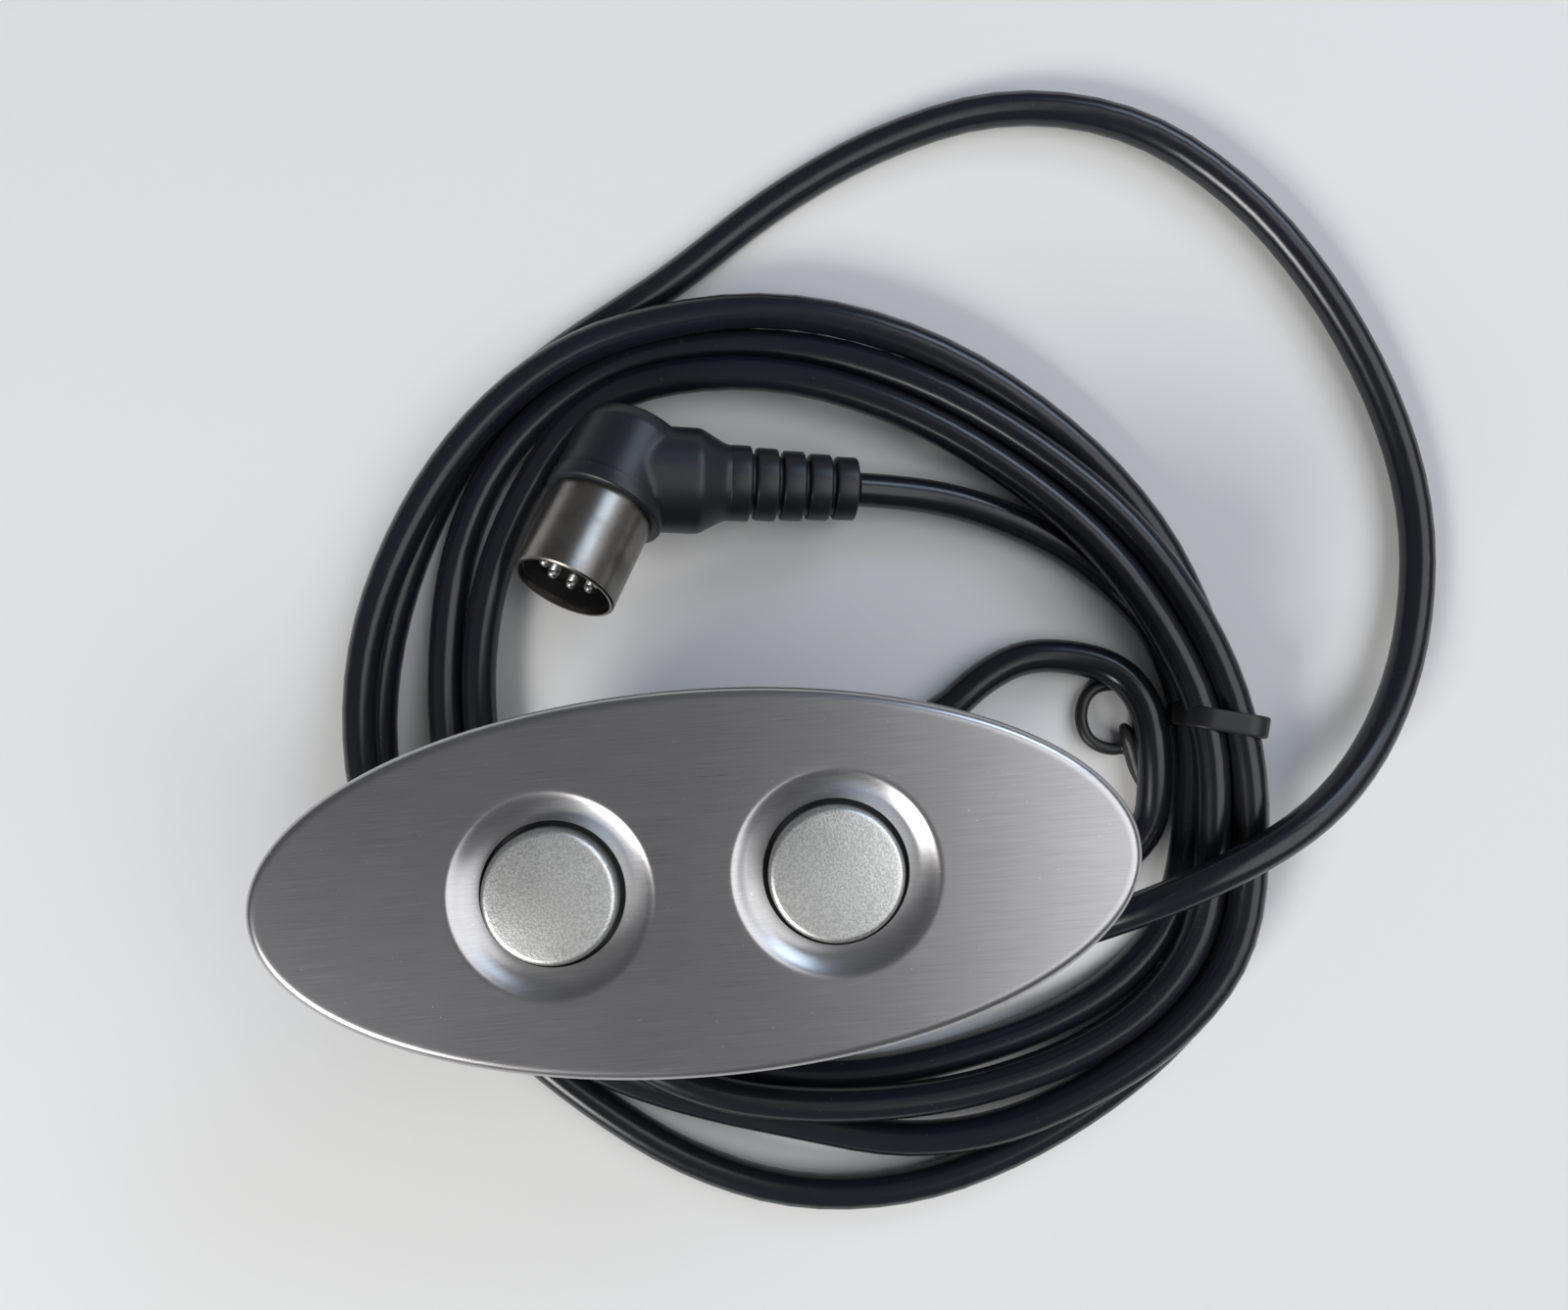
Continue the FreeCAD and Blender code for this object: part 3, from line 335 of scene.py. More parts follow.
def relief_ribs(material, placing):
    """The plug's five rounded relief ribs, each a little smaller than the one before."""
    r = Recipe(
        "relief_ribs", Count=5, Pitch=3.46 * MM, Root=4.9 * MM, Tip=4.1 * MM,
        Width=2.85 * MM, Depth=1.5 * MM, Rounding=0.35 * MM, Material=material,
    )
    profile = r.node(
        "GeometryNodeCurvePrimitiveQuadrilateral",
        {"Width": r.input("Depth"), "Height": r.input("Width")},
    )
    profile = r.node(
        "GeometryNodeFilletCurve",
        {"Curve": profile, "Radius": r.input("Rounding"), "Count": 4},
        mode="POLY",
    )
    circle = r.node(
        "GeometryNodeCurvePrimitiveCircle",
        {"Resolution": 56, "Radius": r.input("Root") - r.input("Depth") * 0.5},
    )
    ring = r.node(
        "GeometryNodeCurveToMesh", {"Curve": circle, "Profile Curve": profile}
    )
    line = r.node(
        "GeometryNodeMeshLine",
        {"Count": r.input("Count"), "Offset": r.vector(0.0, 0.0, r.input("Pitch"))},
    )
    index = r.node("GeometryNodeInputIndex")
    share = index.math("DIVIDE", index, r.input("Count") - 1.0)
    size = 1.0 - share * (1.0 - share.math("DIVIDE", r.input("Tip"), r.input("Root")))
    ribs = r.node(
        "GeometryNodeInstanceOnPoints",
        {"Points": line, "Instance": ring, "Scale": r.vector(size, size, 1.0)},
    )
    placing = placing @ Matrix.Translation((0, 0, FIRST_RIB * MM))
    return r.mesh("relief_ribs", ribs, placing)


def contact_pins(material, placing):
    """The plug's five contact pins with domed tips, on their part circle."""
    r = Recipe(
        "contact_pins", Count=5, Circle=3.5 * MM, Radius=0.74 * MM, Height=12.6 * MM,
        Material=material,
    )
    rod = r.node(
        "GeometryNodeMeshCylinder",
        {"Vertices": 28, "Radius": r.input("Radius"), "Depth": r.input("Height")},
    )
    dome = r.node(
        "GeometryNodeMeshUVSphere",
        {"Segments": 28, "Rings": 16, "Radius": r.input("Radius")},
    )
    dome = r.node(
        "GeometryNodeTransform",
        {"Geometry": dome, "Translation": r.vector(0.0, 0.0, r.input("Height") * 0.5)},
    )
    join = r.tree.nodes.new("GeometryNodeJoinGeometry")
    for part in (rod, dome):
        r.tree.links.new(part.socket, join.inputs[0])
    pin = Sock(r, join.outputs[0])
    arc = r.node(
        "GeometryNodeCurveArc",
        {
            "Resolution": r.input("Count"),
            "Radius": r.input("Circle"),
            "Start Angle": math.radians(-180),
            "Sweep Angle": math.radians(180),
        },
        mode="RADIUS",
    )
    spots = r.node("GeometryNodeCurveToPoints", {"Curve": arc}, mode="EVALUATED")
    pins = r.node("GeometryNodeInstanceOnPoints", {"Points": spots, "Instance": pin})
    placing = placing @ Matrix.Translation((0, 0, PINS_MIDDLE * MM))
    return r.mesh("contact_pins", pins, placing)


# Closed shapes from rings of points

def ring_of(mesh, points):
    """Adds a ring's vertices, from points in millimetres."""
    return [mesh.verts.new(Vector(point) * MM) for point in points]


def skin(mesh, rings):
    """Adds the faces between each ring and the next, leaving out those with no area."""
    for one, two in zip(rings, rings[1:]):
        for k in range(len(one)):
            j = (k + 1) % len(one)
            corners = list(dict.fromkeys((one[k], one[j], two[j], two[k])))
            if len(corners) > 2:
                mesh.faces.new(corners)


def solid(name, mesh, placing=None):
    """Makes an object of a closed mesh: faces outward, smooth up to its sharp edges."""
    bmesh.ops.recalc_face_normals(mesh, faces=mesh.faces)
    data = bpy.data.meshes.new(name)
    mesh.to_mesh(data)
    mesh.free()
    if placing:
        data.transform(placing)
    data.shade_smooth()
    data.set_sharp_from_angle(angle=math.radians(50))
    return link(bpy.data.objects.new(name, data))


# The pressed plate, in millimetres

HALF_LENGTH = 47.5
HALF_WIDTH = 20.5
PLATE_TOP = 40.0
GAUGE = 1.0
SKIRT = 4.2
RIM = 1.2
RIM_STEPS = 8
BUTTON_X = 15.1
HOLE = 7.75
LIP = 11.2
DISH_DEPTH = 1.54
DISH_STEPS = 18
STUD_X = 34.975
STUD_RADIUS = 1.5
STUD_LENGTH = 5.2
STUD_SUNK = 0.3

# The dish's back is part of a ball: its radius and the height of its middle
BALL = 21.0
BALL_Z = 56.96

# Width of the narrow level strips next to the rim and the dishes, which keep them smooth
STRIP = 0.3


def oval_loop(inset, z, count=256):
    """Points round the oval, moved in from its edge."""
    loop = []
    for n in range(count):
        angle = 2 * math.pi * n / count
        x, y = HALF_LENGTH * math.cos(angle), HALF_WIDTH * math.sin(angle)
        out = Vector((x / HALF_LENGTH**2, y / HALF_WIDTH**2)).normalized()
        loop.append((x - out.x * inset, y - out.y * inset, z))
    return loop


def round_loop(x, radius, z, count=96):
    """Points round a circle whose middle lies on the X axis."""
    angles = [2 * math.pi * n / count for n in range(count)]
    return [(x + radius * math.cos(a), radius * math.sin(a), z) for a in angles]


def dish_top(radius):
    """Height of the dish's face: level at its lip, steepest past it, then easing off."""
    steep = 0.35

    def fall(share):
        return 1 - (1 + share / steep) * math.exp(-share / steep)

    share = max(0, LIP - radius) / (LIP - HOLE)
    return PLATE_TOP - DISH_DEPTH * fall(share) / fall(1)


def dish_under(radius):
    """Height of the dish's back: level outside the ball, then round like it."""
    return min(PLATE_TOP - GAUGE, BALL_Z - math.sqrt(BALL**2 - radius**2))


def level_sheet(mesh, loops):
    """Fills the level face between an oval loop and the round loops in it."""
    spots = [spot for each in loops for spot in each]
    owner = [n for n, each in enumerate(loops) for _ in each]
    edges = []
    for each in loops:
        first, count = len(edges), len(each)
        edges += [(first + k, first + (k + 1) % count) for k in range(count)]
    flat = [Vector((spot.co.x / MM, spot.co.y / MM)) for spot in spots]
    filled = delaunay_2d_cdt(flat, edges, [], 0, 1e-6)
    for face in filled[2]:
        corners = [filled[3][k][0] for k in face]
        owners = {owner[k] for k in corners}
        # A face with all its corners on one round loop lies over that loop's hole
        if len(owners) > 1 or owners == {0}:
            mesh.faces.new([spots[k] for k in corners])


def rim_rings(mesh):
    """The rim's rings, from the level underside over the skirt to the level face."""
    under, foot = PLATE_TOP - GAUGE, PLATE_TOP - SKIRT
    inner = RIM - GAUGE
    section = [(RIM + STRIP, under), (RIM, under), (GAUGE, under - inner)]
    section += [(GAUGE, foot), (0, foot)]
    for k in range(RIM_STEPS + 1):
        turn = math.pi / 2 * (1 - k / RIM_STEPS)
        section.append(
            (RIM * (1 - math.sin(turn)), PLATE_TOP - RIM * (1 - math.cos(turn)))
        )
    section.append((RIM + STRIP, PLATE_TOP))
    return [ring_of(mesh, oval_loop(inset, z)) for inset, z in section]


def pressed_plate(name):
    """The oval sheet with its turned-down rim, two dished holes and two studs."""
    mesh = bmesh.new()
    rim = rim_rings(mesh)
    skin(mesh, rim)
    tops, unders = [rim[-1]], [rim[0]]
    radii = [LIP + STRIP]
    radii += [LIP - (LIP - HOLE) * k / DISH_STEPS for k in range(DISH_STEPS + 1)]
    for x in (-BUTTON_X, BUTTON_X):
        front, back = (
            [ring_of(mesh, round_loop(x, r, height(r))) for r in radii]
            for height in (dish_top, dish_under)
        )
        skin(mesh, front + back[::-1])
        tops.append(front[0])
        unders.append(back[0])
    level_sheet(mesh, tops)
    level_sheet(mesh, unders)
    root = PLATE_TOP - GAUGE
    for x in (-STUD_X, STUD_X):
        stud = [
            ring_of(mesh, round_loop(x, STUD_RADIUS, z, 32))
            for z in (root - STUD_LENGTH, root + STUD_SUNK)
        ]
        skin(mesh, stud)
        for end in stud:
            mesh.faces.new(end)
    return solid(name, mesh)


def turned(name, profile, placing, count=72):
    """A closed solid of revolution about its own Z axis; the profile in millimetres."""
    mesh = bmesh.new()
    rings = []
    for radius, z in profile:
        if radius:
            rings.append(ring_of(mesh, round_loop(0, radius, z, count)))
        else:
            rings.append(ring_of(mesh, [(0, 0, z)]) * count)
    skin(mesh, rings + rings[:1])
    return solid(name, mesh, placing)


# The button cap, in millimetres

CAP_TOP = 41.3
CAP_BOTTOM = 37.26
CAP_RADIUS = 7.2
CAP_DOME = 0.25
CAP_EDGE = 0.7
CAP_WALL = 1.3
CAP_CROWN = 1.4


def cap_profile():
    """The button cap in section: a shallow dome, a rounded edge and a hollow back."""
    flat = CAP_RADIUS - CAP_EDGE
    shoulder = CAP_TOP - CAP_DOME - CAP_EDGE
    dome = [(flat * k / 12, CAP_TOP - CAP_DOME * (k / 12) ** 2) for k in range(13)]
    edge = []
    for k in range(1, 7):
        turn = math.radians(15 * k)
        edge.append(
            (flat + CAP_EDGE * math.sin(turn), shoulder + CAP_EDGE * math.cos(turn))
        )
    bore, crown = CAP_RADIUS - CAP_WALL, CAP_TOP - CAP_CROWN
    back = [(CAP_RADIUS, CAP_BOTTOM), (bore, CAP_BOTTOM), (bore, crown), (0, crown)]
    return dome + edge + back


# The plug

KNEE = Vector((-7.8, 47.6, 9.0))
SHELL_HEADING = -117.0
SHELL_PITCH = 23.0


def facing(ahead):
    """A frame at the plug's knee with Z ahead and Y upwards, in metres."""
    ahead = ahead.normalized()
    across = Vector((0, 0, 1)).cross(ahead).normalized()
    turn = Matrix((across, ahead.cross(across), ahead)).transposed().to_4x4()
    return Matrix.Translation(KNEE * MM) @ turn


def heading(turn, rise):
    """A direction from its angle round Z and its angle above the floor, in degrees."""
    turn, rise = math.radians(turn), math.radians(rise)
    level = math.cos(rise)
    return Vector((level * math.cos(turn), level * math.sin(turn), math.sin(rise)))


def shell_frame():
    """The frame whose Z runs out of the shell's mouth."""
    return facing(heading(SHELL_HEADING, SHELL_PITCH))


def neck_frame():
    """The frame whose Z runs along the relief to the cord."""
    return facing(Vector(TAIL[-1]) - KNEE)


def fused(name, parts, voxel, rounds):
    """Joins closed parts into one skin and softens its edges, as a moulding has them."""
    mesh = bmesh.new()
    for part in parts:
        mesh.from_mesh(part.data)
        bpy.data.objects.remove(part)
    whole = bpy.data.meshes.new(name)
    mesh.to_mesh(whole)
    mesh.free()
    piece = link(bpy.data.objects.new(name, whole))
    remesh = piece.modifiers.new("skin", "REMESH")
    remesh.mode = "VOXEL"
    remesh.voxel_size = voxel
    remesh.use_smooth_shade = True
    soften = piece.modifiers.new("soften", "SMOOTH")
    soften.factor = 0.5
    soften.iterations = rounds
    return baked(piece)


def as_mesh(curve):
    """Puts a mesh object of the same name and shape in a curve's place."""
    mesh = evaluated_mesh(curve)
    name = curve.name
    bpy.data.objects.remove(curve)
    return link(bpy.data.objects.new(name, mesh))


# The tie, in millimetres: its ring, its curled end and its strap

RING_WIRE = 1.7
CURL_WIRE = 2.6
STRAP_WIDTH = 2.9
STRAP_GAUGE = 0.9
STRAP_CLEARANCE = 0.08

# The strap runs askew: its slope, and the place about the coil's middle that it crosses
STRAP_SLOPE = -0.25
STRAP_AT = (54, 0.6)

RING = [
    (62.0, 10.0, 0.9),
    (60.6, 12.2, 0.9),
    (58.2, 14.6, 0.9),
    (55.0, 16.2, 1.0),
    (51.4, 15.6, 1.2),
    (49.9, 12.2, 1.3),
    (50.7, 8.8, 1.3),
    (53.6, 7.2, 1.2),
    (56.4, 7.6, 1.0),
    (57.8, 9.2, 0.9),
]
CURL = [
    (57.6, 1.8, 1.35),
    (57.2, 4.2, 1.35),
    (56.7, 7.0, 1.6),
    (56.0, 9.2, 2.2),
    (55.3, 10.7, 2.3),
]


def strands_at_tie():
    """Radius and height of the coil's passes where the tie goes round them.

    The cord's spline is drawn three quarters to a row's point and an eighth to each
    neighbour's.
    """
    before, here, after = (
        next(row for row in COIL if row[0] == angle) for angle in (346, 360, 374)
    )
    return [
        tuple(
            0.75 * here[turn][k] + 0.125 * (before[turn][k] + after[turn][k])
            for k in (0, 1)
        )
        for turn in range(1, TURNS + 1)
    ]


def strap_path():
    """The strap's middle line: the hull of the passes, in evenly spaced points."""
    reach = CORD_DIAMETER / 2 + STRAP_CLEARANCE + STRAP_GAUGE / 2
    rim = []
    for radius, height in strands_at_tie():
        for k in range(36):
            turn = math.radians(10 * k)
            rim.append(
                (radius + reach * math.cos(turn), height + reach * math.sin(turn))
            )
    outline = [Vector(rim[n]) for n in convex_hull_2d(rim)]
    path = []
    for a, b in zip(outline, outline[1:] + outline[:1]):
        pieces = max(1, round((b - a).length / 0.5))
        path += [a.lerp(b, k / pieces) for k in range(pieces)]
    return path


def strap_section():
    """The strap's section with rounded corners, as steps across it and outward."""
    corner = 0.4 * STRAP_GAUGE
    flat, tall = STRAP_WIDTH / 2 - corner, STRAP_GAUGE / 2 - corner
    section = []
    for start, across, outward in ((0, 1, 1), (90, -1, 1), (180, -1, -1), (270, 1, -1)):
        for turn in range(start, start + 91, 30):
            angle = math.radians(turn)
            section.append(
                (
                    across * flat + corner * math.cos(angle),
                    outward * tall + corner * math.sin(angle),
                )
            )
    return section


def band(name):
    """A strap drawn tight round the coil's passes, lying a little askew."""
    along = Vector((1, STRAP_SLOPE, 0)).normalized()
    across = Vector((-STRAP_SLOPE, 1, 0)).normalized()
    path, section = strap_path(), strap_section()
    mesh = bmesh.new()
    rings = []
    for n, spot in enumerate(path):
        ahead = path[(n + 1) % len(path)] - path[n - 1]
        outward = Vector((ahead.y, -ahead.x)).normalized()
        out = along * outward.x + Vector((0, 0, outward.y))
        sway = STRAP_AT[1] + STRAP_SLOPE * (spot.x - STRAP_AT[0])
        middle = Vector((*COIL_MIDDLE, 0)) + Vector((spot.x, sway, spot.y))
        rings.append(
            ring_of(mesh, [middle + across * w + out * g for w, g in section])
        )
    skin(mesh, rings + rings[:1])
    return solid(name, mesh)


# The cord's route in millimetres, in the order that it runs from the gland to the plug

CORD_DIAMETER = 4.5

LEAD = [
    (24.0, -2.8, 5.4),
    (31.2, -2.8, 5.4),
    (37.8, -4.4, 4.3),
    (43.5, -7.0, 2.9),
    (48.9, -8.4, 2.35),
    (54.2, -7.0, 2.35),
    (58.0, -3.1, 2.35),
    (58.7, 2.4, 3.4),
    (58.8, 8.2, 4.3),
    (58.2, 13.4, 4.1),
    (55.4, 17.8, 3.0),
    (50.2, 20.0, 2.35),
    (43.2, 20.9, 2.35),
    (37.0, 18.2, 2.35),
    (31.8, 13.8, 2.35),
    (25.0, 12.2, 2.35),
    (17.4, 14.6, 2.35),
    (9.0, 16.2, 2.35),
    (-1.0, 16.4, 2.35),
    (-10.4, 15.2, 2.35),
    (-18.4, 9.8, 2.35),
    (-21.6, 0.4, 2.35),
    (-18.6, -9.8, 2.35),
    (-9.8, -16.6, 2.35),
    (2.0, -18.2, 2.35),
    (14.0, -18.0, 2.35),
    (26.0, -18.2, 2.5),
    (37.6, -17.7, 4.2),
    (47.8, -14.4, 8.6),
    (58.0, -10.3, 13.6),
    (70.8, -5.2, 13.6),
    (80.5, 0.3, 10.6),
    (88.9, 8.9, 6.4),
    (94.6, 20.4, 3.4),
    (96.7, 35.2, 2.35),
    (93.6, 50.6, 2.35),
    (86.6, 66.2, 2.35),
    (76.8, 79.8, 2.35),
    (63.1, 90.5, 2.35),
    (45.8, 94.0, 2.35),
    (28.9, 90.1, 2.34),
    (14.1, 83.0, 2.33),
    (1.8, 74.6, 2.32),
]
TAIL = [
    (57.2, 27.8, 2.3),
    (51.3, 33.6, 2.34),
    (44.8, 37.7, 2.71),
    (37.6, 41.0, 3.14),
    (30.2, 43.2, 3.6),
    (22.7, 44.1, 5.0),
]

# The coil's middle, and for each angle about it the radius and height of the passes that
# the cord makes there. Each pass runs down the rows, and the next takes up at the top.
COIL_MIDDLE = (12.3, 10.0)
TURNS = 4
COIL = [
    (106, (63.2, 2.3), (60.0, 6.1), (57.1, 2.5), (53.0, 4.8)),
    (118, (61.8, 2.3), (60.6, 6.7), (57.2, 2.3), (53.5, 4.7)),
    (131, (60.6, 2.3), (60.0, 6.8), (56.0, 2.4), (50.0, 4.3)),
    (145, (58.2, 2.3), (58.9, 6.9), (52.6, 2.6), (47.0, 3.9)),
    (160, (56.8, 2.3), (58.3, 6.8), (48.7, 2.8), (44.0, 3.4)),
    (175, (55.9, 2.3), (57.0, 6.9), (46.4, 3.2), (41.8, 3.0)),
    (190, (54.5, 2.3), (55.4, 6.9), (45.7, 3.9), (41.2, 2.7)),
    (205, (53.7, 2.3), (52.3, 6.7), (45.4, 4.7), (41.0, 2.5)),
    (220, (53.2, 2.3), (49.8, 5.5), (45.0, 5.7), (41.0, 2.5)),
    (235, (53.4, 2.3), (48.4, 4.0), (44.5, 6.6), (41.2, 2.4)),
    (250, (55.7, 2.3), (47.5, 3.1), (44.9, 7.0), (41.7, 2.4)),
    (265, (58.2, 2.3), (48.2, 3.3), (45.1, 6.5), (42.4, 2.4)),
    (280, (59.4, 2.3), (52.4, 3.9), (46.5, 5.9), (43.3, 2.4)),
    (294, (59.8, 2.3), (55.6, 4.8), (49.3, 5.4), (45.0, 2.4)),
    (308, (60.8, 2.3), (57.9, 5.9), (53.1, 5.2), (48.4, 2.4)),
    (320, (62.4, 2.3), (60.7, 6.6), (56.4, 5.3), (52.0, 2.4)),
    (332, (63.6, 2.3), (62.4, 6.8), (57.4, 5.8), (54.2, 2.3)),
    (346, (59.6, 2.9), (59.4, 7.5), (54.4, 6.9), (52.6, 2.9)),
    (360, (56.3, 3.5), (57.1, 8.1), (53.0, 7.9), (52.2, 3.5)),
    (374, (56.0, 2.9), (54.7, 7.4), (50.2, 7.5), (50.4, 2.9)),
    (390, (55.8, 2.7), (52.7, 6.2), (48.1, 6.6)),
    (408, (55.3, 3.3), (51.0, 5.3), (46.5, 5.7)),
    (428, (56.8, 4.2), (52.0, 4.3), (47.5, 5.1)),
    (448, (59.0, 5.3), (54.7, 3.2), (50.4, 4.8)),
]


def coil_points():
    """The coil's points, pass by pass."""
    points = []
    for turn in range(1, TURNS + 1):
        for row in COIL:
            if turn < len(row):
                angle = math.radians(row[0])
                radius, height = row[turn]
                x = COIL_MIDDLE[0] + radius * math.cos(angle)
                y = COIL_MIDDLE[1] + radius * math.sin(angle)
                points.append((x, y, height))
    return points


def metres(points):
    """Points given in millimetres, as vectors in metres."""
    return [Vector(point) * MM for point in points]


def link(piece):
    """Puts a new object into the scene."""
    bpy.context.scene.collection.objects.link(piece)
    return piece


def finished(piece, material, body="base"):
    """Gives a piece its material and its body."""
    piece.data.materials.clear()
    piece.data.materials.append(material)
    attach(piece, body)
    return piece


def dress(material, *names):
    """Gives nodes of the CAD their material."""
    for name in names:
        node = NODES[name]
        node.data.materials.clear()
        node.data.materials.append(material)


def both(part):
    """The left and the right node of a part."""
    return [side + "_" + part for side in SIDES]


def tube_curve(name, points, diameter, ends=1.0):
    """A round tube on one smooth open spline; its ends may draw in."""
    curve = bpy.data.curves.new(name, "CURVE")
    curve.dimensions = "3D"
    curve.bevel_depth = diameter / 2
    curve.bevel_resolution = 5
    curve.resolution_u = 4
    curve.use_fill_caps = True
    spline = curve.splines.new("NURBS")
    spline.points.add(len(points) - 1)
    for knot, point in zip(spline.points, points):
        knot.co = (*point, 1)
    for knot in (spline.points[0], spline.points[-1]):
        knot.radius = ends
    spline.order_u = 3
    spline.use_endpoint_u = True
    return link(bpy.data.objects.new(name, curve))


# Settings

class FinishSettings(bpy.types.PropertyGroup):
    plate: FloatVectorProperty(
        name="Plate", description="Colour of the stainless plate",
        subtype="COLOR", default=(0.48, 0.47, 0.48),
    )
    cap: FloatVectorProperty(
        name="Caps", description="Colour of the button caps",
        subtype="COLOR", default=(0.72, 0.72, 0.7),
    )
    cord: FloatVectorProperty(
        name="Cord", description="Colour of the cord's jacket",
        subtype="COLOR", default=(0.009, 0.011, 0.016),
    )


class CordSettings(bpy.types.PropertyGroup):
    diameter: FloatProperty(
        name="Diameter", description="Outside diameter of the cord",
        subtype="DISTANCE", default=CORD_DIAMETER * MM,
    )


class StageSettings(bpy.types.PropertyGroup):
    floor: FloatVectorProperty(
        name="Floor", description="Colour of the plain floor",
        subtype="COLOR", default=(0.86, 0.855, 0.85),
    )
    height: FloatProperty(
        name="Camera height", description="Height of the camera above the floor",
        subtype="DISTANCE", default=184.0 * MM,
    )
    lens: FloatProperty(
        name="Lens", description="Focal length in millimetres", default=31.5,
    )
    roll: FloatProperty(
        name="Roll", description="Turn of the picture about the camera's axis",
        subtype="ANGLE", default=math.radians(-4.54),
    )


# Pieces

# Sections about the shell's axis: the collar round its root, and the dark face that its
# pins come through, with a thin dark lining nearly out to the mouth that is painted shade
# over the shell's inner wall
COLLAR = [(6.64, 3.2), (7.78, 3.2), (7.78, 4.7), (7.66, 5.0), (7.4, 5.12), (6.64, 5.12)]
INSERT_FACE_AND_SHADE_LINING = [
    (0, 7.1), (6.05, 7.1), (6.05, 16.2), (5.7, 16.2), (5.7, 13.7), (0, 13.7),
]


class HANDCONTROL_OT_plate(bpy.types.Operator):
    """Presses the face plate and brushes it"""

    bl_idname = "handcontrol.plate"
    bl_label = "Press the plate"

    def execute(self, context):
        brushed = brushed_plate(tuple(context.scene.hand_finish.plate))
        plate = finished(pressed_plate("plate_sheet"), brushed)
        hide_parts("face_plate")
        return {"FINISHED"}


class HANDCONTROL_OT_caps(bpy.types.Operator):
    """Turns the two button caps"""

    bl_idname = "handcontrol.caps"
    bl_label = "Turn the caps"

    def execute(self, context):
        satin = satin_cap(tuple(context.scene.hand_finish.cap))
        for side, x in zip(SIDES, (-BUTTON_X, BUTTON_X)):
            middle = Matrix.Translation((x * MM, 0, 0))
            cap = turned(side + "_cap", cap_profile(), middle, 96)
            finished(cap, satin, side + "_button")
            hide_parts(side + "_button_cap")
        return {"FINISHED"}


class HANDCONTROL_OT_hardware(bpy.types.Operator):
    """Finishes the springs, clips, screws and nuts"""

    bl_idname = "handcontrol.hardware"
    bl_label = "Finish the hardware"

    def execute(self, context):
        spring = plated("spring_steel", (0.55, 0.55, 0.56), roughness=0.25, wear=0.8)
        dress(spring, *both("return_spring"), *both("mounting_clip"))
        zinc = plated("zinc_steel", (0.62, 0.63, 0.66), roughness=0.3, wear=0.75)
        for kind in ("cover_screw", "board_screw", "stud_nut"):
            dress(zinc, kind + "_1", kind + "_2")
        return {"FINISHED"}


class HANDCONTROL_OT_mouldings(bpy.types.Operator):
    """Finishes the housing, the switch parts and the other mouldings"""

    bl_idname = "handcontrol.mouldings"
    bl_label = "Finish the mouldings"

    def execute(self, context):
        black = moulded("black_moulding", (0.028, 0.028, 0.031), 0.42)
        dress(black, "front_housing", "rear_cover")
        # The plungers are painted near black as painted shade in the gaps round the caps;
        # the real plungers are light.
        dress(moulded("acetal", (0.02, 0.02, 0.021), 0.45), *both("plunger"))
        board = moulded("board_laminate", (0.02, 0.17, 0.07), 0.25, 500.0)
        dress(board, "circuit_board")
        dress(moulded("switch_case", (0.03, 0.03, 0.03), 0.4), *both("switch_body"))
        button = moulded("switch_button", (0.8, 0.78, 0.72), 0.35)
        dress(button, *both("switch_actuator"))
        dress(moulded("core_insulation", (0.6, 0.1, 0.08), 0.3), "core_wires")
        return {"FINISHED"}


class HANDCONTROL_OT_plug(bpy.types.Operator):
    """Moulds the plug's body and relief, and fills its shell"""

    bl_idname = "handcontrol.plug"
    bl_label = "Mould the plug"

    def execute(self, context):
        soft = jacket(
            "soft_moulding", (0.012, 0.014, 0.019), roughness=0.36, grain_depth=0.12
        )
        dress(soft, "cord_gland")
        blank = link(bpy.data.objects.new("blank", NODES["plug_body"].data.copy()))
        body = fused("plug_moulding", [blank], voxel=0.3 * MM, rounds=14)
        finished(body, soft)
        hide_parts("plug_body")
        finished(relief_ribs(soft, neck_frame()), soft)
        finished(turned("collar", COLLAR, shell_frame()), soft)

        nickel = plated("plug_nickel", (0.29, 0.27, 0.24), roughness=0.24, wear=0.6)
        dress(nickel, "plug_shell")
        bright = plated("pin_plating", (0.62, 0.61, 0.58), roughness=0.32, wear=0.85)
        pins = finished(contact_pins(bright, shell_frame()), bright)
        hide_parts(*("plug_pin_%d" % n for n in range(1, 6)))
        insert_and_shade_finish = moulded("insert_plastic", (0.012, 0.012, 0.012), 0.4)
        dress(insert_and_shade_finish, "plug_insert")
        # The dark face is the plug's own; its thin lining out to the mouth is painted shade
        # over the shell's inner wall.
        front = turned("insert_face_and_shade_lining", INSERT_FACE_AND_SHADE_LINING, shell_frame())
        finished(front, insert_and_shade_finish)
        return {"FINISHED"}


class HANDCONTROL_OT_tie(bpy.types.Operator):
    """Ties the coil: a strap round its passes, a ring and a curled end"""

    bl_idname = "handcontrol.tie"
    bl_label = "Tie the coil"

    def execute(self, context):
        ring = as_mesh(tube_curve("ring", metres(RING), RING_WIRE * MM))
        curl = as_mesh(tube_curve("curl", metres(CURL), CURL_WIRE * MM, ends=0.35))
        parts = [ring, curl, band("strap")]
        tie = fused("tie", parts, voxel=0.17 * MM, rounds=4)
        coating = jacket(
            "tie_coating", (0.014, 0.014, 0.016), roughness=0.4, grain_depth=0.2
        )
        finished(tie, coating)
        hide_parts("cord_tie")
        return {"FINISHED"}


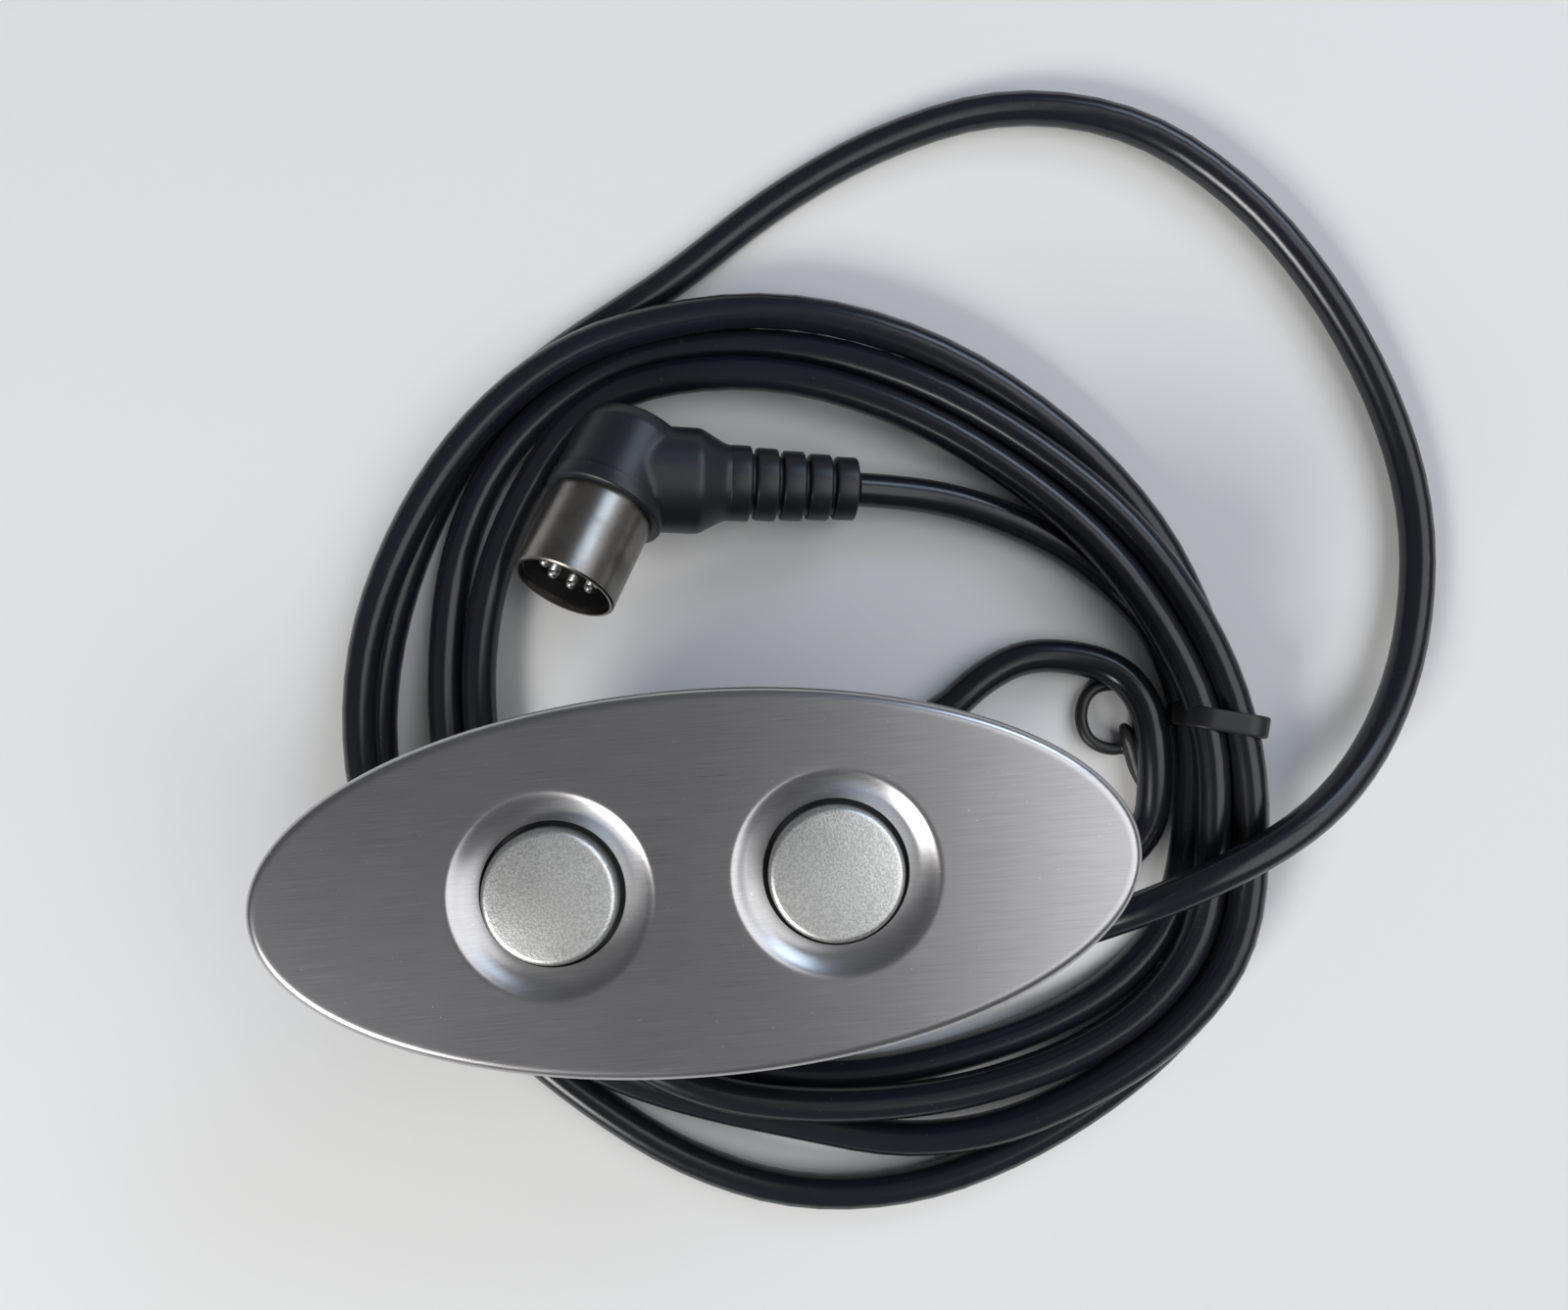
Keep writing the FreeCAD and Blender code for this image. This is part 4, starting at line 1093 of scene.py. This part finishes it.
class HANDCONTROL_OT_cord(bpy.types.Operator):
    """Lays the cord, whose far end holds the plug: small loop, wide loop, coil and tail"""

    bl_idname = "handcontrol.cord"
    bl_label = "Lay the cord"

    def execute(self, context):
        scene = context.scene
        tint = tuple(scene.hand_finish.cord)
        material = jacket("cord_jacket", tint, roughness=0.21, grain_depth=0.07)
        dress(material, "cord_jacket_end")
        diameter = scene.hand_cord.diameter
        points = metres(LEAD + coil_points() + TAIL)
        cord = finished(tube_curve("cord", points, diameter), material)
        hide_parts("cord_lead", "cord_coil", "cord_tail")
        return {"FINISHED"}


# The stage

# Each soft lamp: its name, where it stands about the object (compass angle, height angle
# and distance), its size, its power in watts and its colour
LAMPS = (
    ("key", (222, 34, 1.7), (0.62, 0.56), 19.0, (1.0, 0.985, 0.96)),
    ("overhead", (-5, 55, 1.9), (1.9, 1.6), 17.0, (0.97, 0.985, 1.0)),
    ("window", (48, 34, 1.9), (0.8, 0.6), 8.0, (0.62, 0.78, 1.0)),
)

# The point that the lamps face, the point under the camera, and the floor's half width
LIT_SPOT = (0.02, 0.02, 0.02)
CAMERA_OVER = (11.4 * MM, 23.33 * MM)
FLOOR_HALF = 1.5

# The world as it lights the object, and as the camera sees it: colour and strength
SKY_LIGHT = ((0.62, 0.64, 0.68, 1), 0.2)
SKY_SEEN = ((0.74, 0.75, 0.77, 1), 1.0)


def soft_light(name, stand, size, power, colour):
    """An area lamp that faces the object."""
    light = bpy.data.lights.new(name, "AREA")
    light.shape = "RECTANGLE"
    light.size, light.size_y = size
    light.energy = power
    light.color = colour
    lamp = link(bpy.data.objects.new(name, light))
    turn, rise, distance = stand
    away = heading(turn, rise)
    lamp.location = away * distance + Vector(LIT_SPOT)
    lamp.rotation_euler = (-away).to_track_quat("-Z", "Y").to_euler()


class HANDCONTROL_OT_stage(bpy.types.Operator):
    """Sets the floor, the soft lights and the camera"""

    bl_idname = "handcontrol.stage"
    bl_label = "Set the stage"

    def execute(self, context):
        scene = context.scene
        settings = scene.hand_stage
        plane = bpy.data.meshes.new("floor")
        corners = [
            (x * FLOOR_HALF, y * FLOOR_HALF, 0)
            for x, y in ((-1, -1), (1, -1), (1, 1), (-1, 1))
        ]
        plane.from_pydata(corners, [], [(0, 1, 2, 3)])
        matt = Maker("floor").finish(Base_Color=tuple(settings.floor), Roughness=0.6)
        plane.materials.append(matt)
        floor = link(bpy.data.objects.new("floor", plane))

        world = bpy.data.worlds.new("studio")
        world.use_nodes = True
        sky = Graph(world.node_tree)
        mixed = sky.node(
            "ShaderNodeMixShader",
            (
                sky.node("ShaderNodeLightPath", output="Is Camera Ray"),
                sky.node("ShaderNodeBackground", SKY_LIGHT),
                sky.node("ShaderNodeBackground", SKY_SEEN),
            ),
        )
        surface = world.node_tree.nodes["World Output"].inputs["Surface"]
        world.node_tree.links.new(mixed.socket, surface)
        scene.world = world

        for lamp in LAMPS:
            soft_light(*lamp)

        camera = bpy.data.cameras.new("camera")
        camera.sensor_width = 36.0
        camera.lens = settings.lens
        eye = link(bpy.data.objects.new("camera", camera))
        eye.location = (*CAMERA_OVER, settings.height)
        eye.rotation_euler = (0, 0, settings.roll)
        scene.camera = eye
        scene.view_settings.view_transform = "Standard"
        return {"FINISHED"}


STEPS = (
    HANDCONTROL_OT_plate,
    HANDCONTROL_OT_caps,
    HANDCONTROL_OT_hardware,
    HANDCONTROL_OT_mouldings,
    HANDCONTROL_OT_plug,
    HANDCONTROL_OT_tie,
    HANDCONTROL_OT_cord,
    HANDCONTROL_OT_stage,
)


class HANDCONTROL_PT_panel(bpy.types.Panel):
    """Lists the steps and settings of the hand control"""

    bl_idname = "HANDCONTROL_PT_panel"
    bl_label = "Hand control"
    bl_space_type = "VIEW_3D"
    bl_region_type = "UI"
    bl_category = "Hand control"

    def draw(self, context):
        layout = self.layout
        for step in STEPS:
            layout.operator(step.bl_idname)
        for word, group in SETTINGS:
            settings = getattr(context.scene, word)
            for setting in group.__annotations__:
                layout.prop(settings, setting)


SETTINGS = (
    ("hand_finish", FinishSettings),
    ("hand_cord", CordSettings),
    ("hand_stage", StageSettings),
)


def register():
    for word, group in SETTINGS:
        bpy.utils.register_class(group)
        setattr(bpy.types.Scene, word, PointerProperty(type=group))
    for step in (*STEPS, HANDCONTROL_PT_panel):
        bpy.utils.register_class(step)


def unregister():
    for step in reversed((*STEPS, HANDCONTROL_PT_panel)):
        bpy.utils.unregister_class(step)
    for word, group in SETTINGS:
        delattr(bpy.types.Scene, word)
        bpy.utils.unregister_class(group)


def main():
    register()
    bpy.ops.handcontrol.plate()
    bpy.ops.handcontrol.caps()
    bpy.ops.handcontrol.hardware()
    bpy.ops.handcontrol.mouldings()
    bpy.ops.handcontrol.plug()
    bpy.ops.handcontrol.tie()
    bpy.ops.handcontrol.cord()
    bpy.ops.handcontrol.stage()


if __name__ == "__main__":
    main()
